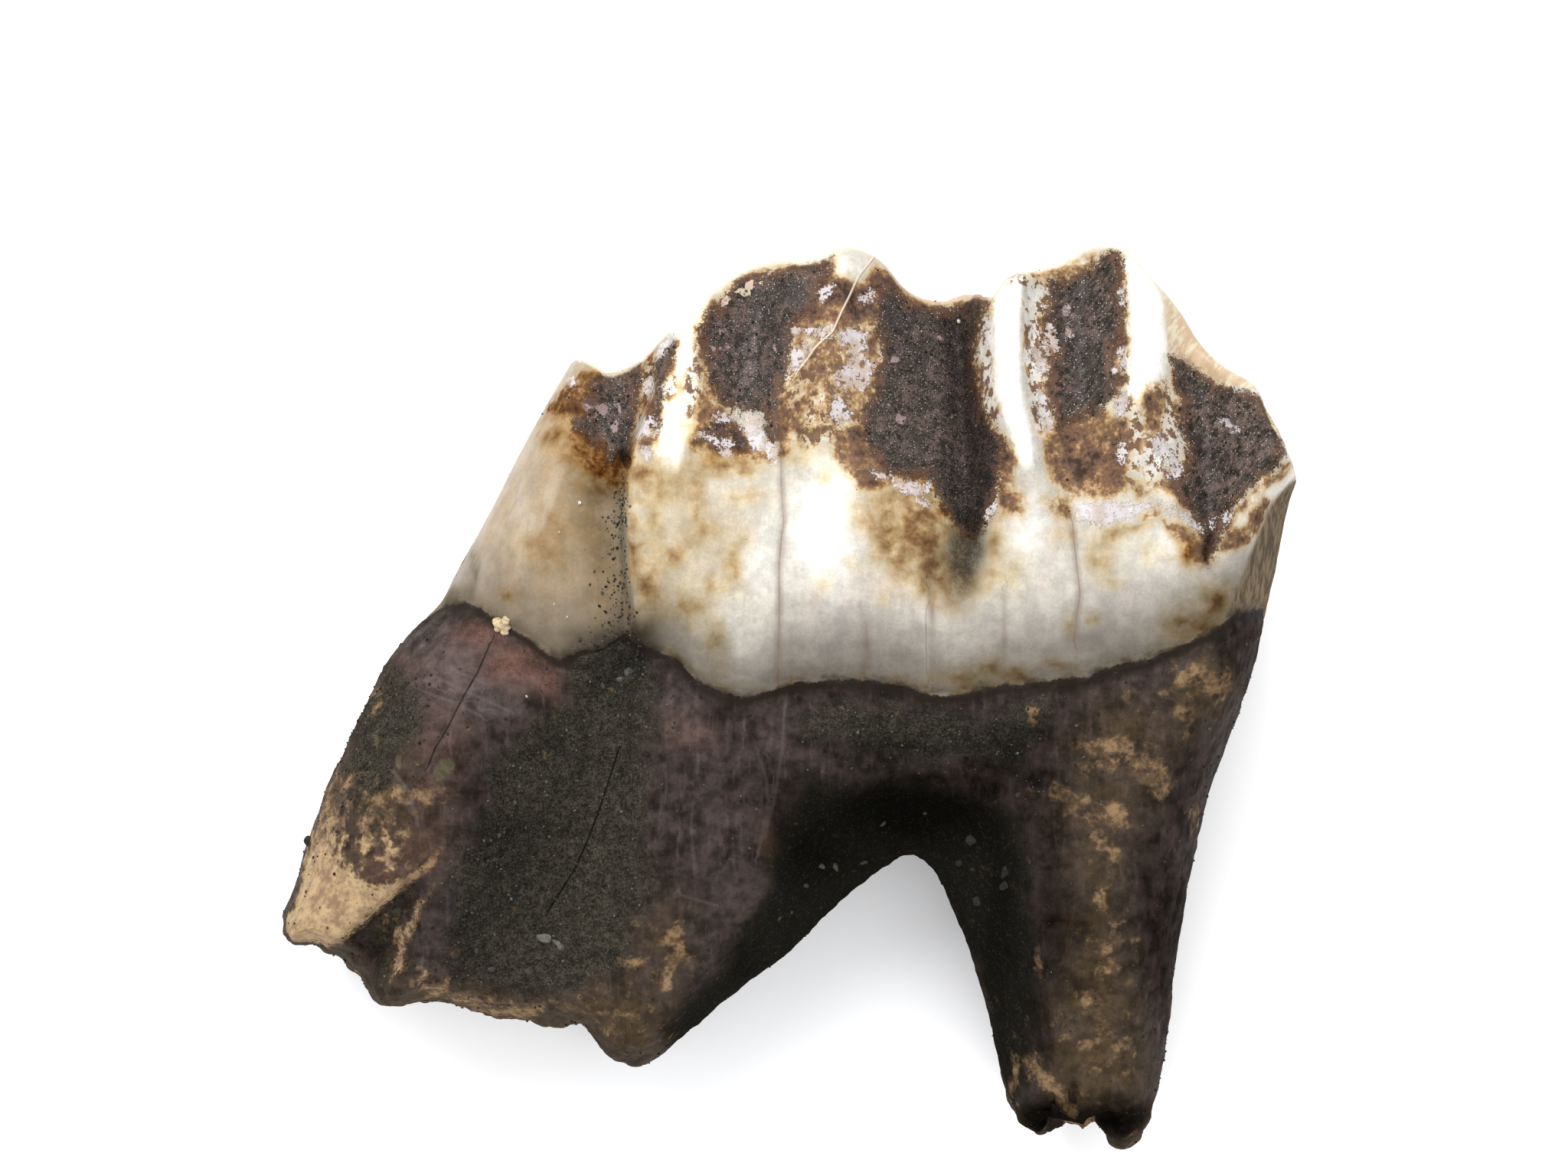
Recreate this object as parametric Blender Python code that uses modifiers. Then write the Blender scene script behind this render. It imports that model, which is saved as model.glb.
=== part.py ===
# Fossil cheek tooth of a small deer: the last lower molar of the left jaw, crown and two broken
# roots in one piece. It lies on its cheek side with its tongue side up.
#
# X runs along the jaw, +X towards the front of the mouth. +Y runs from the roots to the chewing
# edge. Z = 0 is the surface that the tooth lies on, and +Z is the side that faced the tongue.
#
# The whole tooth is one closed surface. At each place x along the jaw it has a closed section in
# the Y-Z plane: up the tongue side, across the chewing surface and down the cheek side. The
# sections are lofted along X, remeshed, thinned and cut flat where the tooth touches the ground.

import bmesh
import bpy
import numpy as np
from mathutils import Matrix

# Driving sizes, in metres.
CROWN_LENGTH = 0.0200
# The outlines and reliefs below are drawn in millimetres for a crown of this length.
DRAWN_CROWN_LENGTH = 20.0
DRAWN_UNIT = CROWN_LENGTH / DRAWN_CROWN_LENGTH

# Fineness of the sections and of the finished mesh, in drawn millimetres.
SECTION_STEP = 0.12
WALL_POINTS = 90
CHEWING_POINTS = 44
VOXEL = 0.15
TRIANGLES = 9400
WELD = 0.002
GROUND_CUT = 0.0

TOOTH_COLOUR = (0.30, 0.22, 0.17, 1.0)

# The outlines and the chewing edge are points of smooth curves, read from the tooth's own shape.
# Side outline from the small third lobe down the back root: x, y, edge radius, flatness of the
# edge (0 is round, 1 is a bevel).
BACK_SIDE = [
    (-5.10, 8.00, 1.0, 0.0),
    (-6.10, 6.30, 1.2, 0.0),
    (-7.00, 4.50, 1.3, 0.2),
    (-7.95, 2.80, 1.5, 0.3),
    (-8.25, 2.25, 1.6, 0.1),
    (-8.70, 1.85, 1.8, 0.0),
    (-9.60, 0.60, 2.2, 0.0),
    (-10.30, -0.80, 2.3, 0.0),
    (-10.95, -2.25, 2.2, 0.0),
    (-11.40, -3.50, 1.8, 0.0),
    (-11.65, -4.40, 1.5, 0.0),
    (-11.90, -5.10, 0.9, 0.0),
]

# Chewing edge on the tongue side: x, y. Cusp tips are at -4.9, -2.6, 1.4 and 7.3.
CHEWING_EDGE = [
    (-5.10, 8.00), (-4.90, 8.05), (-4.25, 7.70), (-3.50, 8.00), (-2.65, 8.72), (-2.45, 8.62),
    (-2.20, 9.15), (-1.40, 9.90), (-0.45, 10.32), (0.55, 10.34), (1.35, 10.65), (2.10, 10.35),
    (2.75, 9.62), (3.50, 9.38), (4.30, 9.58), (4.70, 9.48), (5.10, 9.95), (5.80, 10.12),
    (6.45, 10.32), (7.10, 10.68), (7.75, 10.60), (8.40, 10.00), (9.10, 9.20), (9.70, 8.28),
    (10.25, 7.78), (10.90, 7.38), (11.20, 6.65), (11.65, 5.82), (11.90, 5.20),
]

# Lower outline from the broken back root, through the fork, to the front of the crown.
LOWER_SIDE = [
    (-11.85, -5.50, 0.7, 0.0),
    (-10.90, -5.85, 0.6, 0.0),
    (-10.20, -6.48, 0.6, 0.0),
    (-9.60, -7.10, 0.6, 0.0),
    (-8.50, -7.08, 0.6, 0.0),
    (-7.75, -7.10, 0.6, 0.0),
    (-6.30, -7.48, 0.7, 0.0),
    (-5.15, -7.65, 0.8, 0.0),
    (-4.60, -8.20, 0.8, 0.0),
    (-3.80, -8.62, 0.8, 0.0),
    (-3.10, -8.38, 0.7, 0.2),
    (-1.85, -7.30, 0.8, 0.6),
    (0.00, -5.85, 1.2, 0.7),
    (1.55, -4.42, 1.8, 0.7),
    (2.15, -3.96, 1.9, 0.7),
    (2.85, -3.60, 2.0, 0.7),
    (3.35, -3.98, 2.0, 0.7),
    (3.95, -5.10, 1.8, 0.7),
    (4.50, -6.58, 1.6, 0.7),
    (4.83, -8.00, 1.4, 0.7),
    (5.18, -9.42, 1.0, 0.3),
    (5.60, -10.02, 0.6, 0.0),
    (6.00, -10.25, 0.6, 0.0),
    (6.35, -10.20, 0.5, 0.0),
    (6.55, -9.96, 0.5, 0.0),
    (6.95, -10.12, 0.5, 0.0),
    (7.12, -9.90, 0.5, 0.0),
    (7.35, -10.05, 0.5, 0.0),
    (7.75, -10.57, 0.6, 0.0),
    (8.10, -10.42, 0.7, 0.0),
    (8.60, -9.42, 1.2, 0.0),
    (8.86, -8.00, 1.5, 0.0),
    (9.13, -5.85, 1.7, 0.0),
    (9.48, -3.70, 1.7, 0.0),
    (9.80, -2.26, 1.7, 0.0),
    (10.34, -0.80, 1.5, 0.0),
    (10.85, 0.62, 1.1, 0.0),
    (11.22, 2.24, 0.8, 0.4),
    (11.46, 3.34, 0.8, 0.6),
    (11.70, 4.60, 0.7, 0.5),
    (11.90, 5.20, 0.5, 0.0),
]

# Neck line on the tongue side, where the enamel ends and the root begins: x, y.
NECK_LINE = [
    (-8.2, 2.25), (-7.5, 2.30), (-6.9, 1.95), (-6.2, 1.55), (-5.8, 1.20), (-5.4, 0.85),
    (-4.6, 0.70), (-3.8, 0.85), (-3.2, 1.10), (-2.6, 0.95), (-2.2, 0.50), (-1.7, 0.25),
    (-1.2, 0.08), (-0.7, 0.15), (0.1, 0.45), (1.0, 0.48), (1.8, 0.50), (2.5, 0.38),
    (3.1, 0.18), (3.8, 0.12), (4.6, 0.32), (5.5, 0.42), (6.9, 0.55), (7.4, 0.78),
    (8.5, 1.02), (9.1, 1.30), (9.7, 1.58), (10.4, 2.02), (11.3, 2.20),
]
CHEEK_NECK_DROP = 0.7

# Height of the two faces over the ground along Y, without the crown's swelling: y, z.
TONGUE_LEVEL = [
    (-10.6, 5.3), (-9.0, 5.9), (-7.0, 6.5), (-5.0, 7.0), (-3.0, 7.4),
    (-1.0, 7.7), (1.0, 7.8), (4.0, 7.85), (7.0, 7.6), (10.7, 6.9),
]
CHEEK_LEVEL = [
    (-10.6, 1.0), (-8.0, 0.75), (-6.0, 0.70), (-4.0, 0.80), (-2.0, 0.95),
    (0.0, 1.05), (2.0, 1.05), (5.0, 1.25), (8.0, 1.9), (10.7, 2.7),
]
# How far the enamel stands out of the root at a height over the neck line: height, swelling.
TONGUE_SWELLING = [
    (-0.15, 0.0), (0.0, 0.04), (0.15, 0.20), (0.4, 0.38), (1.0, 0.66), (2.0, 0.92),
    (3.5, 1.02), (5.0, 0.90), (7.0, 0.62), (9.0, 0.42), (10.5, 0.30),
]
CHEEK_SWELLING = [
    (-0.15, 0.0), (0.0, 0.04), (0.15, 0.20), (0.4, 0.40), (1.2, 0.80), (2.4, 1.12),
    (4.0, 1.10), (6.0, 0.80), (8.0, 0.50), (10.0, 0.30),
]

# Ribs (height above 0) and hollows (height under 0) of the tongue side, each along a track from
# the top down: y, x, height, half width.
TONGUE_RELIEF = {
    "front inner style of the third lobe": [
        (8.7, -2.75, 0.30, 0.30), (7.5, -3.20, 0.35, 0.30), (6.4, -3.45, 0.25, 0.28),
        (5.6, -3.55, 0.0, 0.25),
    ],
    "hollow of the third lobe": [
        (8.2, -3.9, -0.35, 0.45), (7.0, -4.2, -0.40, 0.55), (5.6, -4.6, -0.12, 0.7),
        (4.0, -4.8, 0.0, 0.8),
    ],
    "swelling of the third lobe": [
        (7.0, -5.2, 0.0, 0.9), (5.0, -5.8, 0.30, 1.2), (3.0, -6.3, 0.40, 1.3),
        (1.8, -6.4, 0.30, 1.3), (0.8, -6.6, 0.0, 1.3),
    ],
    "back rib of the middle lobe": [
        (9.4, -2.05, 0.30, 0.32), (8.2, -2.45, 0.38, 0.36), (7.1, -2.70, 0.34, 0.38),
        (6.0, -2.80, 0.25, 0.45), (4.9, -2.70, 0.10, 0.6), (3.6, -2.5, 0.0, 0.8),
    ],
    "back hollow of the middle lobe": [
        (10.0, -0.8, -0.42, 0.75), (8.5, -1.0, -0.55, 0.80), (7.0, -1.1, -0.50, 0.75),
        (5.8, -1.1, -0.25, 0.70), (4.8, -1.1, 0.0, 0.7),
    ],
    "middle rib of the middle lobe": [
        (10.7, 1.40, 0.35, 0.40), (9.0, 1.05, 0.40, 0.45), (7.5, 0.80, 0.42, 0.55),
        (5.7, 0.80, 0.40, 0.80), (4.2, 0.95, 0.30, 1.10), (2.8, 1.0, 0.10, 1.3),
        (1.6, 1.0, 0.0, 1.3),
    ],
    "broad side of the main valley": [
        (9.8, 3.10, -0.75, 0.95), (8.2, 3.05, -0.95, 1.0), (6.7, 3.20, -0.90, 0.95),
        (5.3, 3.50, -0.65, 0.80), (4.0, 3.85, -0.30, 0.65), (2.8, 4.0, 0.0, 0.6),
    ],
    "deep line of the main valley": [
        (9.7, 4.05, -0.95, 0.50), (8.2, 4.05, -1.10, 0.50), (6.7, 4.10, -1.15, 0.48),
        (5.3, 4.15, -1.00, 0.45), (4.2, 4.15, -0.70, 0.40), (3.2, 4.05, -0.35, 0.40),
        (1.9, 4.0, 0.0, 0.4),
    ],
    "back style of the front lobe": [
        (10.2, 5.32, 0.62, 0.40), (8.9, 5.22, 0.66, 0.38), (7.8, 5.18, 0.66, 0.36),
        (6.7, 5.28, 0.60, 0.36), (5.8, 5.50, 0.50, 0.38), (4.9, 5.68, 0.34, 0.45),
        (3.6, 5.75, 0.12, 0.6), (2.4, 5.8, 0.0, 0.7),
    ],
    "back hollow of the front lobe": [
        (10.2, 6.75, -0.30, 0.60), (8.9, 6.70, -0.42, 0.60), (7.4, 6.75, -0.45, 0.58),
        (6.2, 6.70, -0.30, 0.55), (5.2, 6.65, -0.12, 0.5), (4.4, 6.6, 0.0, 0.5),
    ],
    "middle rib of the front lobe": [
        (10.6, 7.95, 0.55, 0.42), (9.3, 8.18, 0.58, 0.40), (8.0, 8.25, 0.55, 0.40),
        (6.7, 8.10, 0.42, 0.45), (5.5, 7.95, 0.22, 0.55), (4.2, 7.9, 0.0, 0.6),
    ],
    "front hollow of the front lobe": [
        (8.6, 9.40, -0.60, 0.60), (7.4, 9.60, -0.85, 0.75), (6.4, 9.75, -0.95, 0.80),
        (5.3, 9.80, -0.90, 0.68), (4.4, 9.80, -0.65, 0.48), (3.7, 9.80, -0.30, 0.30),
        (3.2, 9.8, 0.0, 0.3),
    ],
    "front edge of the front lobe": [
        (6.2, 11.35, 0.30, 0.35), (5.2, 11.10, 0.34, 0.40), (4.4, 10.75, 0.34, 0.42),
        (3.6, 10.25, 0.26, 0.50), (2.6, 9.9, 0.05, 0.6), (2.0, 9.8, 0.0, 0.6),
    ],
    "hollow between the halves of the back root": [
        (1.6, -4.0, 0.0, 0.8), (0.4, -4.1, -0.45, 1.0), (-1.5, -4.6, -0.75, 1.35),
        (-3.3, -5.2, -0.90, 1.5), (-5.1, -5.9, -0.95, 1.6), (-7.0, -6.7, -0.80, 1.6),
    ],
    "front swelling of the back root": [
        (0.2, -2.2, 0.0, 0.9), (-0.8, -2.2, 0.22, 0.9), (-2.6, -2.3, 0.30, 0.9),
        (-5.1, -2.9, 0.30, 0.9), (-8.0, -3.7, 0.20, 0.9),
    ],
    "back swelling of the back root": [
        (1.8, -8.2, 0.0, 1.2), (0.4, -8.6, 0.15, 1.3), (-1.6, -9.2, 0.25, 1.4),
        (-3.6, -9.9, 0.25, 1.3), (-5.6, -10.6, 0.10, 1.0),
    ],
    "hollow over the fork": [
        (0.0, 2.6, 0.0, 1.4), (-1.2, 2.8, -0.40, 1.6), (-2.6, 2.9, -0.75, 1.6),
        (-3.8, 2.9, -0.9, 1.4), (-6.0, 3.0, -0.6, 1.0), (-8.0, 3.2, 0.0, 1.0),
    ],
    "inner edge of the front root": [
        (-1.2, 5.6, 0.0, 0.5), (-2.4, 5.75, 0.16, 0.45), (-4.5, 5.85, 0.20, 0.45),
        (-7.8, 6.0, 0.20, 0.45), (-9.4, 6.0, 0.0, 0.4),
    ],
    "hollow along the front root": [
        (-3.0, 7.0, 0.0, 0.7), (-5.0, 7.0, -0.14, 0.7), (-8.0, 7.1, -0.20, 0.7),
        (-10.2, 7.1, -0.35, 0.5),
    ],
}

# Third lobe: it stands behind the middle lobe. Line of the step, x at y, and its depth at y.
LOBE_STEP_LINE = [
    (-3.0, -3.9), (0.2, -3.6), (1.0, -3.30), (1.7, -3.52), (2.8, -3.68), (3.9, -3.76),
    (4.9, -3.74), (5.8, -3.62), (6.7, -3.28), (7.6, -2.90), (8.5, -2.58), (10.7, -2.2),
]
LOBE_STEP_DEPTH = [
    (-2.6, 0.0), (-1.0, 0.25), (0.5, 0.75), (1.6, 1.25), (3.0, 1.65), (5.0, 1.75), (8.8, 1.35),
]
LOBE_STEP_WIDTH = 0.28

# Lobes of the cheek side at the neck and at the top: centre at y = 0, centre at y = 8, half
# width, and how far its swelling stays behind that of the others.
CHEEK_LOBES = [
    (7.6, 8.3, 3.5, 0.0),
    (0.5, 1.0, 3.6, 0.0),
    (-6.2, -3.9, 2.6, 0.9),
]
CHEEK_VALLEY_DEPTH = [(-4.0, 0.0), (-2.0, 0.5), (0.0, 1.2), (2.0, 2.2), (5.0, 2.9), (9.0, 2.6)]
# Rises of the cheek side towards the ground, as the tongue side's ribs: y, x, height, half width.
CHEEK_RELIEF = {
    "back swelling of the back root": [
        (0.5, -8.0, 0.0, 1.5), (-2.0, -8.5, 0.55, 1.6), (-4.2, -8.9, 0.95, 1.7),
        (-6.0, -9.2, 0.70, 1.6), (-7.2, -9.3, 0.4, 1.5),
    ],
    "front swelling of the back root": [
        (-1.0, -2.4, 0.0, 1.2), (-3.0, -2.6, 0.30, 1.2), (-5.5, -3.2, 0.45, 1.2),
        (-8.6, -3.9, 0.30, 1.1),
    ],
    "hollow between the halves of the back root": [
        (0.5, -4.4, 0.0, 1.2), (-2.0, -5.0, -0.6, 1.3), (-5.0, -5.9, -0.8, 1.4),
        (-7.5, -6.6, -0.7, 1.4),
    ],
    "middle of the front root": [
        (-2.0, 7.2, 0.0, 1.3), (-5.0, 7.0, 0.60, 1.3), (-7.0, 7.0, 0.82, 1.3),
        (-8.5, 7.0, 0.75, 1.2), (-10.5, 7.0, 0.4, 1.0),
    ],
    "hollow over the fork": [
        (0.5, 3.6, 0.0, 1.2), (-1.5, 3.3, -0.6, 1.5), (-3.8, 3.0, -1.0, 1.5),
        (-7.0, 3.0, 0.0, 1.2),
    ],
    "resting swelling of the front lobe": [
        (4.6, 7.8, 0.0, 1.4), (3.4, 7.8, 0.10, 1.5), (1.2, 7.6, 0.10, 1.5), (0.2, 7.6, 0.0, 1.4),
    ],
    "resting swelling of the middle lobe": [
        (4.6, 0.9, 0.0, 1.4), (3.4, 0.9, 0.10, 1.5), (1.2, 0.8, 0.10, 1.5), (0.2, 0.8, 0.0, 1.4),
    ],
    "small pillar between the lobes": [
        (4.2, 4.35, 0.0, 0.35), (3.4, 4.35, 0.8, 0.42), (1.8, 4.35, 1.15, 0.52),
        (0.2, 4.3, 1.0, 0.60), (-0.7, 4.2, 0.0, 0.6),
    ],
}

# Chewing surface. The cheek edge lies under the tongue edge by this much at each lobe's middle,
# and lower still between lobes. Its enamel rims stay whole over this width, and the tongue edge
# is rounded.
CHEEK_EDGE_DROP = 2.3
CHEEK_EDGE_NOTCH = 1.1
RIM_WIDTH = 1.0
CREST_RADIUS = 0.35
# The crescent pit of each lobe: centre x, half length, depth, place across at the middle and
# at the horns (0 is the tongue edge and 1 the cheek edge), half width across.
PITS = [
    (7.9, 2.5, 2.0, 0.44, 0.30, 0.12),
    (0.9, 2.6, 2.0, 0.44, 0.30, 0.12),
    (-3.9, 1.0, 0.7, 0.48, 0.40, 0.14),
]
# Notches across the chewing surface between the lobes: x, half width, depth.
CROSS_NOTCHES = [(3.95, 0.8, 0.8), (-2.60, 0.5, 0.5)]
# The worn crests are hollowed between their enamel rims: place across, half width, depth.
WORN_CRESTS = [(0.18, 0.06, 0.20), (0.76, 0.10, 0.40)]

# A wedge broken out of the tongue side at the end of the back root. It opens from its tip
# between a steep bank and a gentle one.
CHIP_TIP = (-8.05, -3.40)
CHIP_STEEP_END = (-10.80, -5.75)
CHIP_GENTLE_END = (-9.25, -7.20)
CHIP_STEEP_WIDTH = 0.35
CHIP_GENTLE_WIDTH = 0.95
CHIP_DEPTH = 1.1

# Root canals that open in the broken ends: x, z, radius across, radius in height, depth.
CANALS = [
    (-9.0, 3.2, 0.65, 1.1, 1.6),
    (-4.4, 3.6, 0.60, 1.2, 1.8),
    (6.6, 3.5, 0.55, 1.1, 1.7),
]
CANAL_FADE = 2.2


def along(values, rows):
    """Value at each place from rows of (place, value)."""
    places, levels = np.array(rows).T
    return np.interp(values, places, levels)


def smooth_curve(rows, pieces=4):
    """Points of a smooth curve through the rows, with each stretch in so many pieces."""
    points = np.array(rows)
    chords = np.maximum(np.hypot(*np.diff(points[:, :2], axis=0).T), 1e-6)[:, None]
    slopes = np.diff(points, axis=0) / chords
    share = chords[1:] / (chords[1:] + chords[:-1])
    inner = share * slopes[:-1] + (1.0 - share) * slopes[1:]
    tangents = np.vstack([slopes[:1], inner, slopes[-1:]])
    t = np.linspace(0.0, 1.0, pieces, endpoint=False)[None, :, None]
    start, end = points[:-1, None], points[1:, None]
    leave, arrive = (tangents[:-1] * chords)[:, None], (tangents[1:] * chords)[:, None]
    curve = (
        start * (2 * t ** 3 - 3 * t ** 2 + 1)
        + end * (3 * t ** 2 - 2 * t ** 3)
        + leave * (t ** 3 - 2 * t ** 2 + t)
        + arrive * (t ** 3 - t ** 2)
    )
    return np.vstack([curve.reshape(-1, points.shape[1]), points[-1:]])


def height_along(x, curve):
    """The curve's second value at each x. The curve runs towards +X."""
    return np.interp(x, np.maximum.accumulate(curve[:, 0]), curve[:, 1])


def relief(x, y, tracks):
    """Sum of ribs and hollows, each a bell-shaped wave across its track."""
    total = np.zeros(np.broadcast(x, y).shape)
    for rows in tracks.values():
        ys, xs, heights, widths = np.array(rows)[::-1].T
        centre = np.interp(y, ys, xs)
        height = np.interp(y, ys, heights)
        width = np.interp(y, ys, widths)
        total = total + height * np.exp(-(((x - centre) / width) ** 2))
    return total


def smooth_step(t):
    t = np.clip(t, 0.0, 1.0)
    return t * t * (3.0 - 2.0 * t)


def edge_fullness(x, y):
    """0 on the side outline and 1 from the edge radius inwards, with the edge's own rounding."""
    outline = np.vstack([smooth_curve(BACK_SIDE, 3), smooth_curve(LOWER_SIDE, 3)])
    best = np.full(x.shape, 9.0)
    flat = np.zeros(x.shape)
    for start, end in zip(outline[:-1], outline[1:]):
        step = end[:2] - start[:2]
        share = ((x - start[0]) * step[0] + (y - start[1]) * step[1]) / (step @ step)
        share = np.clip(share, 0.0, 1.0)
        away = np.hypot(x - start[0] - share * step[0], y - start[1] - share * step[1])
        depth = away / (start[2] + share * (end[2] - start[2]))
        nearer = depth < best
        best = np.where(nearer, depth, best)
        flat = np.where(nearer, start[3] + share * (end[3] - start[3]), flat)
    depth = np.clip(best, 0.0, 1.0)
    rounded = np.sqrt(1.0 - (1.0 - depth) ** 2)
    bevelled = 0.35 * rounded + 0.65 * depth
    return rounded + flat * (bevelled - rounded)


def off_line(x, y, start, end):
    """Distance to the left of the line from start to end."""
    step = np.array(end) - np.array(start)
    return ((y - start[1]) * step[0] - (x - start[0]) * step[1]) / np.hypot(*step)


def chip(x, y):
    """Depth of the broken wedge: it grows from its two banks to the full depth between them."""
    steep = smooth_step(off_line(x, y, CHIP_TIP, CHIP_STEEP_END) / CHIP_STEEP_WIDTH)
    gentle = smooth_step(off_line(x, y, CHIP_GENTLE_END, CHIP_TIP) / CHIP_GENTLE_WIDTH)
    return CHIP_DEPTH * steep * gentle


def canal_depth(x, z):
    """How far a root canal reaches up from the broken end, as a bell-shaped hollow."""
    depth = np.zeros(np.broadcast(x, z).shape)
    for centre_x, centre_z, radius_x, radius_z, full in CANALS:
        off = ((x - centre_x) / radius_x) ** 2 + ((z - centre_z) / radius_z) ** 2
        depth = depth + full * np.exp(-off ** 2)
    return depth


def middle_level(y):
    return 0.5 * (along(y, TONGUE_LEVEL) + along(y, CHEEK_LEVEL))


def tongue_side(x, y):
    """Height of the tongue side over the ground."""
    over_neck = y - along(x, NECK_LINE)
    level = along(y, TONGUE_LEVEL) + along(over_neck, TONGUE_SWELLING)
    behind = smooth_step((along(y, LOBE_STEP_LINE) - x) / LOBE_STEP_WIDTH)
    level = level - behind * along(y, LOBE_STEP_DEPTH)
    level = level + relief(x, y, TONGUE_RELIEF)
    level = level - chip(x, y)
    middle = middle_level(y)
    return middle + (level - middle) * edge_fullness(x, y)


def cheek_side(x, y):
    """Height of the cheek side over the ground, in lobes with valleys between them."""
    over_neck = y - along(x, NECK_LINE) + CHEEK_NECK_DROP
    level = along(y, CHEEK_LEVEL) - along(over_neck, CHEEK_SWELLING)
    nearest = np.full(x.shape, 9.0)
    held_back = np.zeros(x.shape)
    for neck_x, top_x, half_width, behind in CHEEK_LOBES:
        centre = neck_x + (top_x - neck_x) * y / 8.0
        off = np.abs(x - centre) / half_width
        held_back = np.where(off < nearest, behind, held_back)
        nearest = np.minimum(nearest, off)
    bow = 1.0 - np.sqrt(1.0 - np.clip(nearest, 0.0, 1.0) ** 2)
    in_crown = smooth_step((y + 2.0) / 4.0)
    level = level + bow * along(y, CHEEK_VALLEY_DEPTH) + held_back * in_crown
    level = level - relief(x, y, CHEEK_RELIEF)
    middle = middle_level(y)
    return middle + (level - middle) * edge_fullness(x, y)


def cheek_edge(x):
    """Height along Y of the cheek-side chewing edge."""
    nearest = np.full(x.shape, 9.0)
    for _, top_x, half_width, _ in CHEEK_LOBES:
        nearest = np.minimum(nearest, np.abs(x - top_x) / half_width)
    drop = CHEEK_EDGE_DROP + CHEEK_EDGE_NOTCH * np.clip(nearest, 0.0, 1.0) ** 2
    ends = smooth_step((x + 5.1) / 0.8) * smooth_step((11.9 - x) / 1.2)
    return height_along(x, smooth_curve(CHEWING_EDGE)) - drop * ends


def chewing_surface(x, across, width):
    """Height along Y of the chewing surface, from the tongue edge (0) to the cheek edge (1)."""
    low, high = cheek_edge(x), height_along(x, smooth_curve(CHEWING_EDGE))
    level = high + (low - high) * across
    from_rim = np.minimum(across, 1.0 - across) * width / RIM_WIDTH
    open_part = smooth_step(from_rim)
    for centre, half_length, depth, at_middle, at_horns, half_width in PITS:
        off = np.clip(np.abs(x - centre) / half_length, 0.0, 1.0)
        place = at_middle + (at_horns - at_middle) * off ** 2
        fade = (1.0 - off ** 4) ** 2
        level = level - depth * fade * np.exp(-(((across - place) / half_width) ** 2)) * open_part
    for centre, half_width, depth in CROSS_NOTCHES:
        level = level - depth * np.exp(-(((x - centre) / half_width) ** 2)) * open_part
    for place, half_width, depth in WORN_CRESTS:
        level = level - depth * np.exp(-(((across - place) / half_width) ** 2)) * open_part
    return level


def section_grid():
    """Points of all sections: one row for each place along X, one column for each point."""
    upper = np.vstack([smooth_curve(BACK_SIDE)[::-1, :2], smooth_curve(CHEWING_EDGE)[1:]])
    lower = smooth_curve(LOWER_SIDE)
    first, last = upper[0, 0] + 0.01, upper[-1, 0] - 0.01
    x = np.linspace(first, last, int((last - first) / SECTION_STEP))[:, None]
    top = height_along(x, upper)
    bottom = height_along(x, lower)
    has_chewing_edge = x > CHEWING_EDGE[0][0]
    cheek_top = np.where(has_chewing_edge, np.maximum(cheek_edge(x), bottom + 0.02), top)

    # Points crowd towards both ends of a wall, where the edges are round.
    share = 0.5 - 0.5 * np.cos(np.linspace(0.0, np.pi, WALL_POINTS))[None, :]
    tongue_y = bottom + (top - bottom) * share
    tongue = tongue_side(x + 0.0 * share, tongue_y)
    near_crest = np.clip(1.0 - (top - tongue_y) / CREST_RADIUS, 0.0, 1.0) * has_chewing_edge
    tongue = tongue - CREST_RADIUS * (1.0 - np.sqrt(1.0 - near_crest ** 2))
    cheek_y = cheek_top + (bottom - cheek_top) * share
    cheek = cheek_side(x + 0.0 * share, cheek_y)

    across = np.linspace(0.0, 1.0, CHEWING_POINTS + 2)[None, 1:-1]
    width = tongue[:, -1:] - cheek[:, :1]
    chewing = tongue[:, -1:] - width * across
    flat_over = top + (cheek_top - top) * across
    over = chewing_surface(x, across, width)
    chewing_y = np.where(has_chewing_edge, over, flat_over)

    y = np.hstack([tongue_y, chewing_y, cheek_y])
    z = np.hstack([tongue, chewing, cheek])
    x = x + 0.0 * y
    near_end = np.clip(1.0 - (y - bottom) / CANAL_FADE, 0.0, 1.0)
    y = y + near_end * canal_depth(x, z)
    return np.stack([x, y, z], axis=-1)


def lofted_sections(points):
    """A closed mesh: quads between neighbouring sections, and a cap on the first and the last."""
    rows, columns = points.shape[:2]
    index = np.arange(rows * columns).reshape(rows, columns)
    here, onward = index[:-1], index[1:]
    quads = np.stack([here, onward, np.roll(onward, -1, 1), np.roll(here, -1, 1)], axis=-1)
    faces = quads.reshape(-1, 4).tolist() + [index[0].tolist(), index[-1][::-1].tolist()]
    mesh = bpy.data.meshes.new("deer_tooth")
    mesh.from_pydata((points.reshape(-1, 3) * DRAWN_UNIT).tolist(), [], faces)
    shape = bmesh.new()
    shape.from_mesh(mesh)
    bmesh.ops.remove_doubles(shape, verts=shape.verts, dist=WELD * DRAWN_UNIT)
    bmesh.ops.dissolve_degenerate(shape, edges=shape.edges, dist=WELD * DRAWN_UNIT)
    bmesh.ops.recalc_face_normals(shape, faces=shape.faces)
    shape.to_mesh(mesh)
    shape.free()
    return mesh


def tooth_material():
    material = bpy.data.materials.new("fossil_tooth")
    material.use_nodes = True
    shader = material.node_tree.nodes["Principled BSDF"]
    shader.inputs["Base Color"].default_value = TOOTH_COLOUR
    shader.inputs["Roughness"].default_value = 0.55
    shader.inputs["Metallic"].default_value = 0.0
    return material


def add_collection(name):
    collection = bpy.data.collections.new(name)
    bpy.context.scene.collection.children.link(collection)
    return collection


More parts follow.
